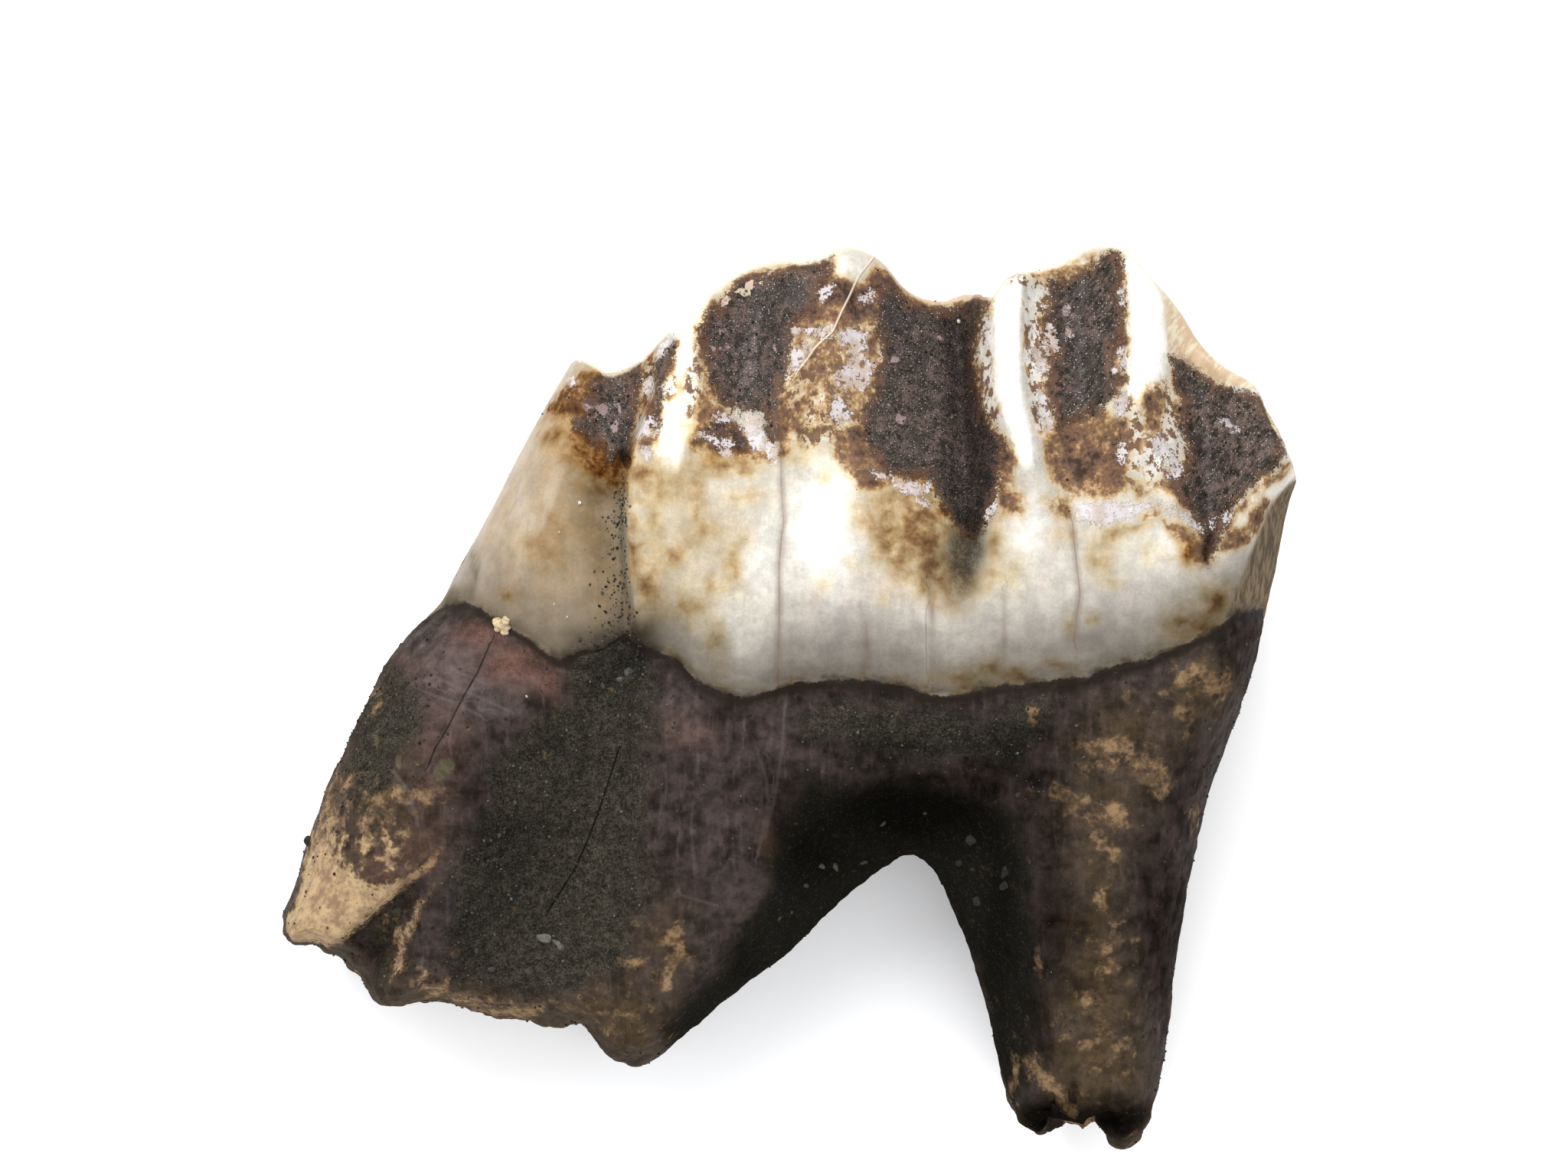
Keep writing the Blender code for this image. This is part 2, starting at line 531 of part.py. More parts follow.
def add_ground_cutter(collection):
    """A block under Z = 0, which leaves the small flats that the tooth lies on."""
    bpy.ops.mesh.primitive_cube_add(size=1.0)
    cutter = bpy.context.object
    cutter.name = "ground_cutter"
    side = 2.0 * CROWN_LENGTH
    cutter.data.transform(Matrix.Diagonal((side, side, side, 1.0)))
    cutter.data.transform(Matrix.Translation((0.0, 0.0, GROUND_CUT * DRAWN_UNIT - side / 2)))
    cutter.hide_render = True
    cutter.display_type = "WIRE"
    for other in cutter.users_collection:
        other.objects.unlink(cutter)
    collection.objects.link(cutter)
    return cutter


def evaluated_mesh(obj):
    bpy.context.view_layer.update()
    graph = bpy.context.evaluated_depsgraph_get()
    return bpy.data.meshes.new_from_object(obj.evaluated_get(graph))


def centre_over_ground(mesh):
    """Moves the mesh so that its box is centred over the origin, with its flats at Z = 0."""
    points = np.array([vertex.co for vertex in mesh.vertices])
    low, high = points.min(axis=0), points.max(axis=0)
    middle = (low + high) / 2
    mesh.transform(Matrix.Translation((-middle[0], -middle[1], -low[2])))


def main():
    for obj in list(bpy.data.objects):
        bpy.data.objects.remove(obj)
    parts = add_collection("fossil_deer_tooth")
    cutters = add_collection("cutters")

    tooth = bpy.data.objects.new("deer_tooth", lofted_sections(section_grid()))
    parts.objects.link(tooth)

    remesh = tooth.modifiers.new("even faces", "REMESH")
    remesh.mode = "VOXEL"
    remesh.voxel_size = VOXEL * DRAWN_UNIT
    soften = tooth.modifiers.new("soften steps", "SMOOTH")
    soften.factor = 0.5
    soften.iterations = 2
    voxel_mesh = evaluated_mesh(tooth)
    voxel_mesh.calc_loop_triangles()
    thin = tooth.modifiers.new("thin out", "DECIMATE")
    thin.ratio = TRIANGLES / len(voxel_mesh.loop_triangles)
    thin.use_collapse_triangulate = True
    bpy.data.meshes.remove(voxel_mesh)
    cut = tooth.modifiers.new("lying flats", "BOOLEAN")
    cut.operation = "DIFFERENCE"
    cut.object = add_ground_cutter(cutters)

    finished = evaluated_mesh(tooth)
    tooth.modifiers.clear()
    tooth.data = finished
    finished.name = "deer_tooth"
    centre_over_ground(finished)
    finished.materials.clear()
    finished.materials.append(tooth_material())


main()
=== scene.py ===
# Fossil cheek tooth of a small deer, lying on its cheek side with its tongue side up: a ribbed
# enamel crown over two broken roots, with dark stain and sand stuck in its hollows.
# Shapes and markings are drawn in millimetres: x runs along the jaw, y from the roots to the
# chewing edge and z up. They are turned into metres where a mesh is made. A table is a list of
# numbers, row after row, with a space between two rows.

import math
import bmesh
import bpy
import numpy as np
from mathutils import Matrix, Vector


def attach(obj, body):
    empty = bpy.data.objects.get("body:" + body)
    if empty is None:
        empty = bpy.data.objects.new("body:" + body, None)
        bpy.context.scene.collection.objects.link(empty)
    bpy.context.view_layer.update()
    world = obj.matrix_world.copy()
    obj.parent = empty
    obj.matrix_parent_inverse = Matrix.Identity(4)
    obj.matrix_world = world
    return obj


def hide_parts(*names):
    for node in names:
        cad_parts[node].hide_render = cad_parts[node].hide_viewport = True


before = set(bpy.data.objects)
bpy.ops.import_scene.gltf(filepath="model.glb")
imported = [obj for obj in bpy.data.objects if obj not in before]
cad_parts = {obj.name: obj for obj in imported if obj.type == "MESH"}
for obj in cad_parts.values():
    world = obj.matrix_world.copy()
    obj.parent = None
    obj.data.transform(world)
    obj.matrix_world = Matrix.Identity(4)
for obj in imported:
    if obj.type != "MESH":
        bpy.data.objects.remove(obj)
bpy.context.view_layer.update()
mm = 0.001
toothNode = "deer_tooth"


def fold(count, *numbers):
    # the numbers in rows of this many
    return [numbers[start:start + count] for start in range(0, len(numbers), count)]


# The form of the tooth. An outline row is x, y, edge radius, flatness of the edge (0 is round, 1
# is a bevel). A relief row is y, x, height, half width.
toothForm = {
    "backSide": fold(4,
        -5.1,8,1,0, -6.1,6.3,1.2,0, -7,4.5,1.3,.2, -7.95,2.8,1.5,.3, -8.25,2.25,1.6,.1, -8.7,1.85,1.8,0,
        -9.6,.6,2.2,0, -10.3,-.8,2.3,0, -10.95,-2.25,2.2,0, -11.4,-3.5,1.8,0, -11.65,-4.4,1.5,0,
        -11.9,-5.1,.9,0),
    "chewingEdge": fold(2,
        -5.1,8, -4.9,8.05, -4.25,7.7, -3.5,8, -2.65,8.72, -2.45,8.62, -2.2,9.15, -1.4,9.9, -.45,10.32,
        .55,10.34, 1.35,10.65, 2.1,10.35, 2.75,9.62, 3.5,9.38, 4.3,9.58, 4.7,9.48, 5.1,9.95, 5.8,10.12,
        6.45,10.32, 7.1,10.68, 7.75,10.6, 8.4,10, 9.1,9.2, 9.7,8.28, 10.25,7.78, 10.9,7.38, 11.2,6.65,
        11.65,5.82, 11.9,5.2),
    "lowerSide": fold(4,
        -11.9,-5.45,.6,0, -11.7,-5.65,.5,0, -11.4,-5.74,.5,0, -11.2,-5.7,.5,0, -10.95,-5.86,.5,0,
        -10.6,-5.98,.5,0, -10.3,-6.3,.5,0, -10.12,-6.4,.5,0, -9.95,-6.66,.5,0, -9.8,-6.98,.5,0,
        -9.55,-7.14,.5,0, -9.1,-7.18,.5,0, -8.6,-7.08,.5,0, -8.1,-7.05,.5,0, -7.6,-7.2,.6,0,
        -7.2,-7.35,.6,0, -6.9,-7.48,.6,0, -6.65,-7.44,.6,0, -6.35,-7.55,.6,0, -6.05,-7.5,.6,0,
        -5.75,-7.62,.7,0, -5.45,-7.64,.7,0, -5,-7.76,.7,0, -4.75,-8.05,.7,0, -4.5,-8.3,.7,0,
        -4.2,-8.58,.7,0, -3.8,-8.64,.7,0, -3.3,-8.5,.7,.1, -3,-8.3,.7,.2, -2.7,-8.02,.7,.3,
        -1.85,-7.3,.8,.6, 0,-5.85,1.2,.7, 1.55,-4.42,1.8,.7, 2.15,-3.96,1.9,.7, 2.85,-3.6,2,.7,
        3.35,-3.98,2,.7, 3.95,-5.1,1.8,.7, 4.5,-6.58,1.6,.7, 4.83,-8,1.4,.7, 5.18,-9.42,1,.3,
        5.6,-10.02,.6,0, 6,-10.25,.6,0, 6.35,-10.2,.5,0, 6.55,-10.1,.5,0, 6.95,-10.26,.5,0,
        7.12,-10.06,.5,0, 7.35,-10.05,.5,0, 7.75,-10.57,.6,0, 8.1,-10.42,.7,0, 8.6,-9.42,1.2,0,
        8.86,-8,1.5,0, 9.13,-5.85,1.7,0, 9.48,-3.7,1.7,0, 9.8,-2.26,1.7,0, 10.34,-.8,1.5,0, 10.85,.62,1.1,0,
        11.22,2.24,.8,.4, 11.46,3.34,.8,.6, 11.7,4.6,.7,.5, 11.9,5.2,.5,0),
    # Where the enamel ends on the tongue side. On the cheek side it ends lower by neckDrop.
    "neckLine": fold(2,
        -8.2,2.25, -7.5,2.3, -6.9,1.95, -6.2,1.55, -5.8,1.2, -5.4,.85, -4.6,.7, -3.8,.85, -3.2,1.1,
        -2.6,.95, -2.2,.5, -1.7,.25, -1.2,.08, -.7,.15, .1,.45, 1,.48, 1.8,.5, 2.5,.38, 3.1,.18, 3.8,.12,
        4.6,.32, 5.5,.42, 6.9,.55, 7.4,.78, 8.5,1.02, 9.1,1.3, 9.7,1.58, 10.4,2.02, 11.3,2.2),
    "neckDrop": 0.7,
    "tongueLevel": fold(2, -10.6,5.3, -9,5.9, -7,6.5, -5,7, -3,7.4, -1,7.7, 1,7.8, 4,7.85, 7,7.6, 10.7,6.9),
    "cheekLevel": fold(2, -10.6,1, -8,.75, -6,.7, -4,.8, -2,.95, 0,1.05, 2,1.05, 5,1.25, 8,1.9, 10.7,2.7),
    "tongueSwelling": fold(2,
        -.15,0, 0,.04, .15,.2, .4,.38, 1,.66, 2,.92, 3.5,1.02, 5,.9, 7,.62, 9,.42, 10.5,.3),
    "cheekSwelling": fold(2, -.15,0, 0,.04, .15,.2, .4,.4, 1.2,.8, 2.4,1.12, 4,1.1, 6,.8, 8,.5, 10,.3),
    # The small third lobe stands behind the middle one, past this line (y, x).
    "lobeStepLine": fold(2,
        -3,-3.9, .2,-3.6, 1,-3.3, 1.7,-3.52, 2.8,-3.68, 3.9,-3.76, 4.9,-3.74, 5.8,-3.62, 6.7,-3.28,
        7.6,-2.9, 8.5,-2.58, 10.7,-2.2),
    "lobeStepDepth": fold(2, -2.6,0, -1,.25, .5,.75, 1.6,1.25, 3,1.65, 5,1.75, 8.8,1.35),
    "lobeStepWidth": 0.24,
    # Cheek lobes: centre at y = 0, centre at y = 8, half width, how far it stays behind.
    "cheekLobes": fold(4, 7.6,8.3,3.5,0, .5,1,3.6,0, -6.2,-3.9,2.6,.9),
    "cheekValleyDepth": fold(2, -4,0, -2,.5, 0,1.2, 2,2.2, 5,2.9, 9,2.6),
    "cheekEdgeDrop": 2.3,
    "cheekEdgeNotch": 1.1,
    "rimWidth": 1.0,
    "crestRadius": 0.3,
    # Pits of the chewing surface: centre x, half length, depth, place across at the middle and at
    # the horns (0 is the tongue edge, 1 the cheek edge), half width across.
    "pits": fold(6, 7.9,2.5,2,.44,.3,.12, .9,2.6,2,.44,.3,.12, -3.9,1,.7,.48,.4,.14),
    "crossNotches": [(3.95, 0.8, 0.8), (-2.6, 0.5, 0.5)],
    "wornCrests": [(0.18, 0.06, 0.2), (0.76, 0.1, 0.4)],
    # A wedge broken out at the end of the back root.
    "chipTip": (-8.05, -3.4),
    "chipSteepEnd": (-10.8, -5.75),
    "chipGentleEnd": (-9.25, -7.2),
    "chipSteepWidth": 0.32,
    "chipGentleWidth": 0.95,
    "chipDepth": 1.1,
    # Root canals in the broken ends: x, z, radius across, radius in height, depth.
    "canals": fold(5, -9,3.2,.65,1.1,1.6, -4.4,3.6,.6,1.2,1.8, 6.6,3.5,.55,1.1,1.7),
    "canalFade": 2.2,
}

tongueRelief = {
    "front inner style of the third lobe": [
        8.7,-2.75,.3,.3, 7.5,-3.2,.35,.3, 6.4,-3.45,.25,.28, 5.6,-3.55,0,.25],
    "hollow of the third lobe": [8.2,-3.9,-.35,.45, 7,-4.2,-.4,.55, 5.6,-4.6,-.12,.7, 4,-4.8,0,.8],
    "swelling of the third lobe": [
        7,-5.2,0,.9, 5,-5.8,.3,1.2, 3,-6.3,.4,1.3, 1.8,-6.4,.3,1.3, .8,-6.6,0,1.3],
    "thin edge behind the third lobe": [
        6.4,-6.05,0,.12, 5.2,-6.62,.1,.14, 4,-7.25,.16,.16, 3,-7.72,.14,.16, 2.3,-8,0,.15],
    "furrow behind the third lobe": [
        6,-5.9,0,.12, 5,-6.4,-.08,.12, 3.8,-6.98,-.14,.13, 2.9,-7.4,-.12,.13, 2.4,-7.6,0,.12],
    "back rib of the middle lobe": [
        9.4,-2.05,.3,.32, 8.2,-2.45,.38,.36, 7.1,-2.7,.34,.38, 6,-2.8,.25,.45, 4.9,-2.7,.1,.6,
        3.6,-2.5,0,.8],
    "back hollow of the middle lobe": [
        10,-.8,-.42,.75, 8.5,-1,-.55,.8, 7,-1.1,-.5,.75, 5.8,-1.1,-.25,.7, 4.8,-1.1,0,.7],
    "middle rib of the middle lobe": [
        10.7,1.4,.35,.4, 9,1.05,.4,.45, 7.5,.8,.42,.55, 5.7,.8,.4,.8, 4.2,.95,.3,1.1, 2.8,1,.1,1.3,
        1.6,1,0,1.3],
    "broad side of the main valley": [
        9.8,3.1,-.75,.95, 8.2,3.05,-.95,1, 6.7,3.2,-.9,.95, 5.3,3.5,-.65,.8, 4,3.85,-.3,.65, 2.8,4,0,.6],
    "deep line of the main valley": [
        9.7,4.05,-.95,.5, 8.2,4.05,-1.1,.5, 6.7,4.1,-1.15,.48, 5.3,4.15,-1,.45, 4.2,4.15,-.7,.4,
        3.2,4.05,-.35,.4, 1.9,4,0,.4],
    "back style of the front lobe": [
        10.2,5.32,.62,.4, 8.9,5.22,.66,.38, 7.8,5.18,.66,.36, 6.7,5.28,.6,.36, 5.8,5.5,.5,.38,
        4.9,5.68,.34,.45, 3.6,5.75,.12,.6, 2.4,5.8,0,.7],
    "back hollow of the front lobe": [
        10.2,6.75,-.3,.6, 8.9,6.7,-.42,.6, 7.4,6.75,-.45,.58, 6.2,6.7,-.3,.55, 5.2,6.65,-.12,.5,
        4.4,6.6,0,.5],
    "middle rib of the front lobe": [
        10.6,7.95,.55,.42, 9.3,8.18,.58,.4, 8,8.25,.55,.4, 6.7,8.1,.42,.45, 5.5,7.95,.22,.55, 4.2,7.9,0,.6],
    "front hollow of the front lobe": [
        8.6,9.4,-.6,.6, 7.4,9.6,-.85,.75, 6.4,9.75,-.95,.8, 5.3,9.8,-.9,.68, 4.4,9.8,-.65,.48,
        3.7,9.8,-.3,.3, 3.2,9.8,0,.3],
    "front edge of the front lobe": [
        6.2,11.35,.3,.35, 5.2,11.1,.34,.4, 4.4,10.75,.34,.42, 3.6,10.25,.26,.5, 2.6,9.9,.05,.6, 2,9.8,0,.6],
    "hollow between the halves of the back root": [
        1.6,-4,0,.8, .4,-4.1,-.45,1, -1.5,-4.6,-.75,1.35, -3.3,-5.2,-.9,1.5, -5.1,-5.9,-.95,1.6,
        -7,-6.7,-.8,1.6],
    "front swelling of the back root": [
        .2,-2.2,0,.9, -.8,-2.2,.22,.9, -2.6,-2.3,.3,.9, -5.1,-2.9,.3,.9, -8,-3.7,.2,.9],
    "back swelling of the back root": [
        1.8,-8.2,0,1.2, .4,-8.6,.15,1.3, -1.6,-9.2,.25,1.4, -3.6,-9.9,.25,1.3, -5.6,-10.6,.1,1],
    "hollow over the fork": [
        0,2.6,0,1.4, -1.2,2.8,-.4,1.6, -2.6,2.9,-.75,1.6, -3.8,2.9,-.9,1.4, -6,3,-.6,1, -8,3.2,0,1],
    "inner edge of the front root": [
        -1.2,5.6,0,.5, -2.4,5.75,.16,.45, -4.5,5.85,.2,.45, -7.8,6,.2,.45, -9.4,6,0,.4],
    "hollow along the front root": [-3,7,0,.7, -5,7,-.14,.7, -8,7.1,-.2,.7, -10.2,7.1,-.35,.5],
}

cheekRelief = {
    "back swelling of the back root": [
        .5,-8,0,1.5, -2,-8.5,.55,1.6, -4.2,-8.9,.95,1.7, -6,-9.2,.7,1.6, -7.2,-9.3,.4,1.5],
    "front swelling of the back root": [-1,-2.4,0,1.2, -3,-2.6,.3,1.2, -5.5,-3.2,.45,1.2, -8.6,-3.9,.3,1.1],
    "hollow between the halves of the back root": [
        .5,-4.4,0,1.2, -2,-5,-.6,1.3, -5,-5.9,-.8,1.4, -7.5,-6.6,-.7,1.4],
    "middle of the front root": [-2,7.2,0,1.3, -5,7,.6,1.3, -7,7,.82,1.3, -8.5,7,.75,1.2, -10.5,7,.4,1],
    "hollow over the fork": [.5,3.6,0,1.2, -1.5,3.3,-.6,1.5, -3.8,3,-1,1.5, -7,3,0,1.2],
    "resting swelling of the front lobe": [4.6,7.8,0,1.4, 3.4,7.8,.1,1.5, 1.2,7.6,.1,1.5, .2,7.6,0,1.4],
    "resting swelling of the middle lobe": [4.6,.9,0,1.4, 3.4,.9,.1,1.5, 1.2,.8,.1,1.5, .2,.8,0,1.4],
    "small pillar between the lobes": [
        4.2,4.35,0,.35, 3.4,4.35,.8,.42, 1.8,4.35,1.15,.52, .2,4.3,1,.6, -.7,4.2,0,.6],
}


def along(values, rows):
    # value at each place, by straight runs between rows of (place, value)
    places, levels = np.array(rows).T
    return np.interp(values, places, levels)


def smoothStep(t):
    # 3t^2 - 2t^3 between 0 and 1
    t = np.clip(t, 0, 1)
    return t * t * (3 - 2 * t)


def smoothCurve(rows, pieces=4):
    # Hermite curve through the rows, its tangent at each row weighted by the chords beside it
    points = np.array(rows)
    chords = np.maximum(np.hypot(*np.diff(points[:, :2], axis=0).T), 1e-6)[:, None]
    slopes = np.diff(points, axis=0) / chords
    share = chords[1:] / (chords[1:] + chords[:-1])
    inner = share * slopes[:-1] + (1 - share) * slopes[1:]
    tangents = np.vstack([slopes[:1], inner, slopes[-1:]])
    t = np.linspace(0, 1, pieces, endpoint=False)[None, :, None]
    start, end = points[:-1, None], points[1:, None]
    leave, arrive = (tangents[:-1] * chords)[:, None], (tangents[1:] * chords)[:, None]
    curve = (
        start * (2 * t ** 3 - 3 * t ** 2 + 1)
        + end * (3 * t ** 2 - 2 * t ** 3)
        + leave * (t ** 3 - 2 * t ** 2 + t)
        + arrive * (t ** 3 - t ** 2)
    )
    return np.vstack([curve.reshape(-1, points.shape[1]), points[-1:]])


def heightAlong(x, curve):
    # the curve's y at each x, for a curve that runs towards +x
    return np.interp(x, np.maximum.accumulate(curve[:, 0]), curve[:, 1])


def relief(x, y, tracks):
    # sum over the tracks of height(y) * exp(-((x - centre(y)) / width(y))^2)
    total = np.zeros(np.broadcast(x, y).shape)
    for rows in tracks.values():
        ys, xs, heights, widths = np.reshape(rows, (-1, 4))[::-1].T
        off = (x - np.interp(y, ys, xs)) / np.interp(y, ys, widths)
        total = total + np.interp(y, ys, heights) * np.exp(-off ** 2)
    return total


def distanceTo(x, y, points):
    # distance to the open line through the points, with the nearest stretch's number and share
    best = np.full(x.shape, 99.0)
    stretch = np.zeros(x.shape, int)
    share = np.zeros(x.shape)
    for number, (start, end) in enumerate(zip(points[:-1], points[1:])):
        dx, dy = end[0] - start[0], end[1] - start[1]
        part = np.clip(((x - start[0]) * dx + (y - start[1]) * dy) / (dx * dx + dy * dy), 0, 1)
        away = np.hypot(x - start[0] - part * dx, y - start[1] - part * dy)
        nearer = away < best
        best = np.where(nearer, away, best)
        stretch = np.where(nearer, number, stretch)
        share = np.where(nearer, part, share)
    return best, stretch, share


def sideOutline():
    return np.vstack([smoothCurve(toothForm["backSide"], 3), smoothCurve(toothForm["lowerSide"], 3)])


def edgeFullness(x, y):
    # sqrt(1 - (1 - t)^2), t being the distance to the side outline over its edge radius, mixed
    # with a straight bevel by the edge's flatness
    outline = sideOutline()
    best = np.full(x.shape, 9.0)
    flat = np.zeros(x.shape)
    for start, end in zip(outline[:-1], outline[1:]):
        away, _, share = distanceTo(x, y, [start[:2], end[:2]])
        depth = away / (start[2] + share * (end[2] - start[2]))
        nearer = depth < best
        best = np.where(nearer, depth, best)
        flat = np.where(nearer, start[3] + share * (end[3] - start[3]), flat)
    depth = np.clip(best, 0, 1)
    rounded = np.sqrt(1 - (1 - depth) ** 2)
    return rounded + flat * 0.65 * (depth - rounded)


def offLine(x, y, start, end):
    # distance to the left of the line from start to end
    dx, dy = end[0] - start[0], end[1] - start[1]
    return ((y - start[1]) * dx - (x - start[0]) * dy) / math.hypot(dx, dy)


def chipDepth(x, y):
    # full depth between the steep and the gentle bank, with a smooth step over each
    form = toothForm
    steep = offLine(x, y, form["chipTip"], form["chipSteepEnd"]) / form["chipSteepWidth"]
    gentle = offLine(x, y, form["chipGentleEnd"], form["chipTip"]) / form["chipGentleWidth"]
    return form["chipDepth"] * smoothStep(steep) * smoothStep(gentle)


def canalDepth(x, z):
    # sum over the canals of depth * exp(-r^4), r being the elliptic distance from its middle
    depth = np.zeros(np.broadcast(x, z).shape)
    for centreX, centreZ, radiusX, radiusZ, full in toothForm["canals"]:
        off = ((x - centreX) / radiusX) ** 2 + ((z - centreZ) / radiusZ) ** 2
        depth = depth + full * np.exp(-off ** 2)
    return depth


def middleLevel(y):
    return 0.5 * (along(y, toothForm["tongueLevel"]) + along(y, toothForm["cheekLevel"]))


def overNeck(x, y):
    return y - along(x, toothForm["neckLine"])


def tongueSide(x, y):
    # level(y) + swelling over the neck - lobe step + ribs - chip, drawn in to the middle level by
    # the edge fullness
    form = toothForm
    level = along(y, form["tongueLevel"]) + along(overNeck(x, y), form["tongueSwelling"])
    behind = smoothStep((along(y, form["lobeStepLine"]) - x) / form["lobeStepWidth"])
    level = level - behind * along(y, form["lobeStepDepth"])
    level = level + relief(x, y, tongueRelief) - chipDepth(x, y)
    middle = middleLevel(y)
    return middle + (level - middle) * edgeFullness(x, y)


def cheekBow(x, y):
    # 1 - sqrt(1 - t^2), t being 0 on a lobe's middle line and 1 between two lobes, with how far
    # the nearest lobe stays behind
    nearest = np.full(x.shape, 9.0)
    heldBack = np.zeros(x.shape)
    for neckX, topX, halfWidth, behind in toothForm["cheekLobes"]:
        off = np.abs(x - neckX - (topX - neckX) * y / 8) / halfWidth
        heldBack = np.where(off < nearest, behind, heldBack)
        nearest = np.minimum(nearest, off)
    return 1 - np.sqrt(1 - np.clip(nearest, 0, 1) ** 2), heldBack


def cheekSide(x, y):
    # level(y) - swelling + bow between the lobes - rises, drawn in to the middle level
    form = toothForm
    swelling = along(overNeck(x, y) + form["neckDrop"], form["cheekSwelling"])
    bow, heldBack = cheekBow(x, y)
    level = along(y, form["cheekLevel"]) - swelling
    level = level + bow * along(y, form["cheekValleyDepth"])
    level = level + heldBack * smoothStep((y + 2) / 4) - relief(x, y, cheekRelief)
    middle = middleLevel(y)
    return middle + (level - middle) * edgeFullness(x, y)


def crestHeight(x):
    return heightAlong(x, smoothCurve(toothForm["chewingEdge"]))


def cheekEdge(x):
    # the crest less a drop that grows with the square of the distance from the nearest lobe
    form = toothForm
    nearest = np.full(x.shape, 9.0)
    for _, topX, halfWidth, _ in form["cheekLobes"]:
        nearest = np.minimum(nearest, np.abs(x - topX) / halfWidth)
    drop = form["cheekEdgeDrop"] + form["cheekEdgeNotch"] * np.clip(nearest, 0, 1) ** 2
    ends = smoothStep((x + 5.1) / 0.8) * smoothStep((11.9 - x) / 1.2)
    return crestHeight(x) - drop * ends


def chewingSurface(x, across, width):
    # straight from the tongue edge to the cheek edge, less pits, notches and worn troughs, each
    # a bell exp(-t^2) that starts inside the enamel rims
    form = toothForm
    low, high = cheekEdge(x), crestHeight(x)
    level = high + (low - high) * across
    openPart = smoothStep(np.minimum(across, 1 - across) * width / form["rimWidth"])
    for centre, halfLength, depth, atMiddle, atHorns, halfWidth in form["pits"]:
        off = np.clip(np.abs(x - centre) / halfLength, 0, 1)
        place = atMiddle + (atHorns - atMiddle) * off ** 2
        fade = (1 - off ** 4) ** 2
        level = level - depth * fade * np.exp(-(((across - place) / halfWidth) ** 2)) * openPart
    for centre, halfWidth, depth in form["crossNotches"]:
        level = level - depth * np.exp(-(((x - centre) / halfWidth) ** 2)) * openPart
    for place, halfWidth, depth in form["wornCrests"]:
        level = level - depth * np.exp(-(((across - place) / halfWidth) ** 2)) * openPart
    return level


skinMesh = {
    "sectionStep": 0.06,
    "wallPoints": 200,
    "chewingPoints": 90,
    "voxel": 0.08,
    "triangles": 196000,
    "weld": 0.002,
}


def sectionGrid():
    # a closed section in y and z at each x: up the tongue side, over the chewing surface and down
    # the cheek side, its points crowded by a cosine towards the round edges
    form = toothForm
    upper = np.vstack([smoothCurve(form["backSide"])[::-1, :2], smoothCurve(form["chewingEdge"])[1:]])
    lower = smoothCurve(form["lowerSide"])
    first, last = upper[0, 0] + 0.01, upper[-1, 0] - 0.01
    x = np.linspace(first, last, int((last - first) / skinMesh["sectionStep"]))[:, None]
    top, bottom = heightAlong(x, upper), heightAlong(x, lower)
    hasChewingEdge = x > form["chewingEdge"][0][0]
    cheekTop = np.where(hasChewingEdge, np.maximum(cheekEdge(x), bottom + 0.02), top)

    share = 0.5 - 0.5 * np.cos(np.linspace(0, np.pi, skinMesh["wallPoints"]))[None, :]
    tongueY = bottom + (top - bottom) * share
    tongue = tongueSide(x + 0 * share, tongueY)
    radius = form["crestRadius"]
    nearCrest = np.clip(1 - (top - tongueY) / radius, 0, 1) * hasChewingEdge
    tongue = tongue - radius * (1 - np.sqrt(1 - nearCrest ** 2))
    cheekY = cheekTop + (bottom - cheekTop) * share
    cheek = cheekSide(x + 0 * share, cheekY)

    across = np.linspace(0, 1, skinMesh["chewingPoints"] + 2)[None, 1:-1]
    width = tongue[:, -1:] - cheek[:, :1]
    chewingZ = tongue[:, -1:] - width * across
    flatOver = top + (cheekTop - top) * across
    chewingY = np.where(hasChewingEdge, chewingSurface(x, across, width), flatOver)

    y = np.hstack([tongueY, chewingY, cheekY])
    z = np.hstack([tongue, chewingZ, cheek])
    x = x + 0 * y
    nearEnd = np.clip(1 - (y - bottom) / form["canalFade"], 0, 1)
    y = y + nearEnd * canalDepth(x, z)
    return np.stack([x, y, z], axis=-1)


def closedLoft(points, name):
    # quads between neighbouring sections, and a cap on the first and the last
    rows, columns = points.shape[:2]
    index = np.arange(rows * columns).reshape(rows, columns)
    here, onward = index[:-1], index[1:]
    quads = np.stack([here, onward, np.roll(onward, -1, 1), np.roll(here, -1, 1)], axis=-1)
    faces = quads.reshape(-1, 4).tolist() + [index[0].tolist(), index[-1][::-1].tolist()]
    mesh = bpy.data.meshes.new(name)
    mesh.from_pydata(points.reshape(-1, 3).tolist(), [], faces)
    shape = bmesh.new()
    shape.from_mesh(mesh)
    weld = skinMesh["weld"]
    bmesh.ops.remove_doubles(shape, verts=shape.verts, dist=weld)
    bmesh.ops.dissolve_degenerate(shape, edges=shape.edges, dist=weld)
    bmesh.ops.recalc_face_normals(shape, faces=shape.faces)
    shape.to_mesh(mesh)
    shape.free()
    return mesh


def cellValue(i, j, k, seed):
    # one repeatable value from 0 to 1 for each cell, by mixing the bits of its three numbers
    n = (i * 374761393 + j * 668265263 + k * 1440662683 + seed * 974634777) & 0xFFFFFFFF
    n = ((n ^ (n >> 13)) * 1274126177) & 0xFFFFFFFF
    return ((n ^ (n >> 16)) & 0xFFFFFF) / 16777215


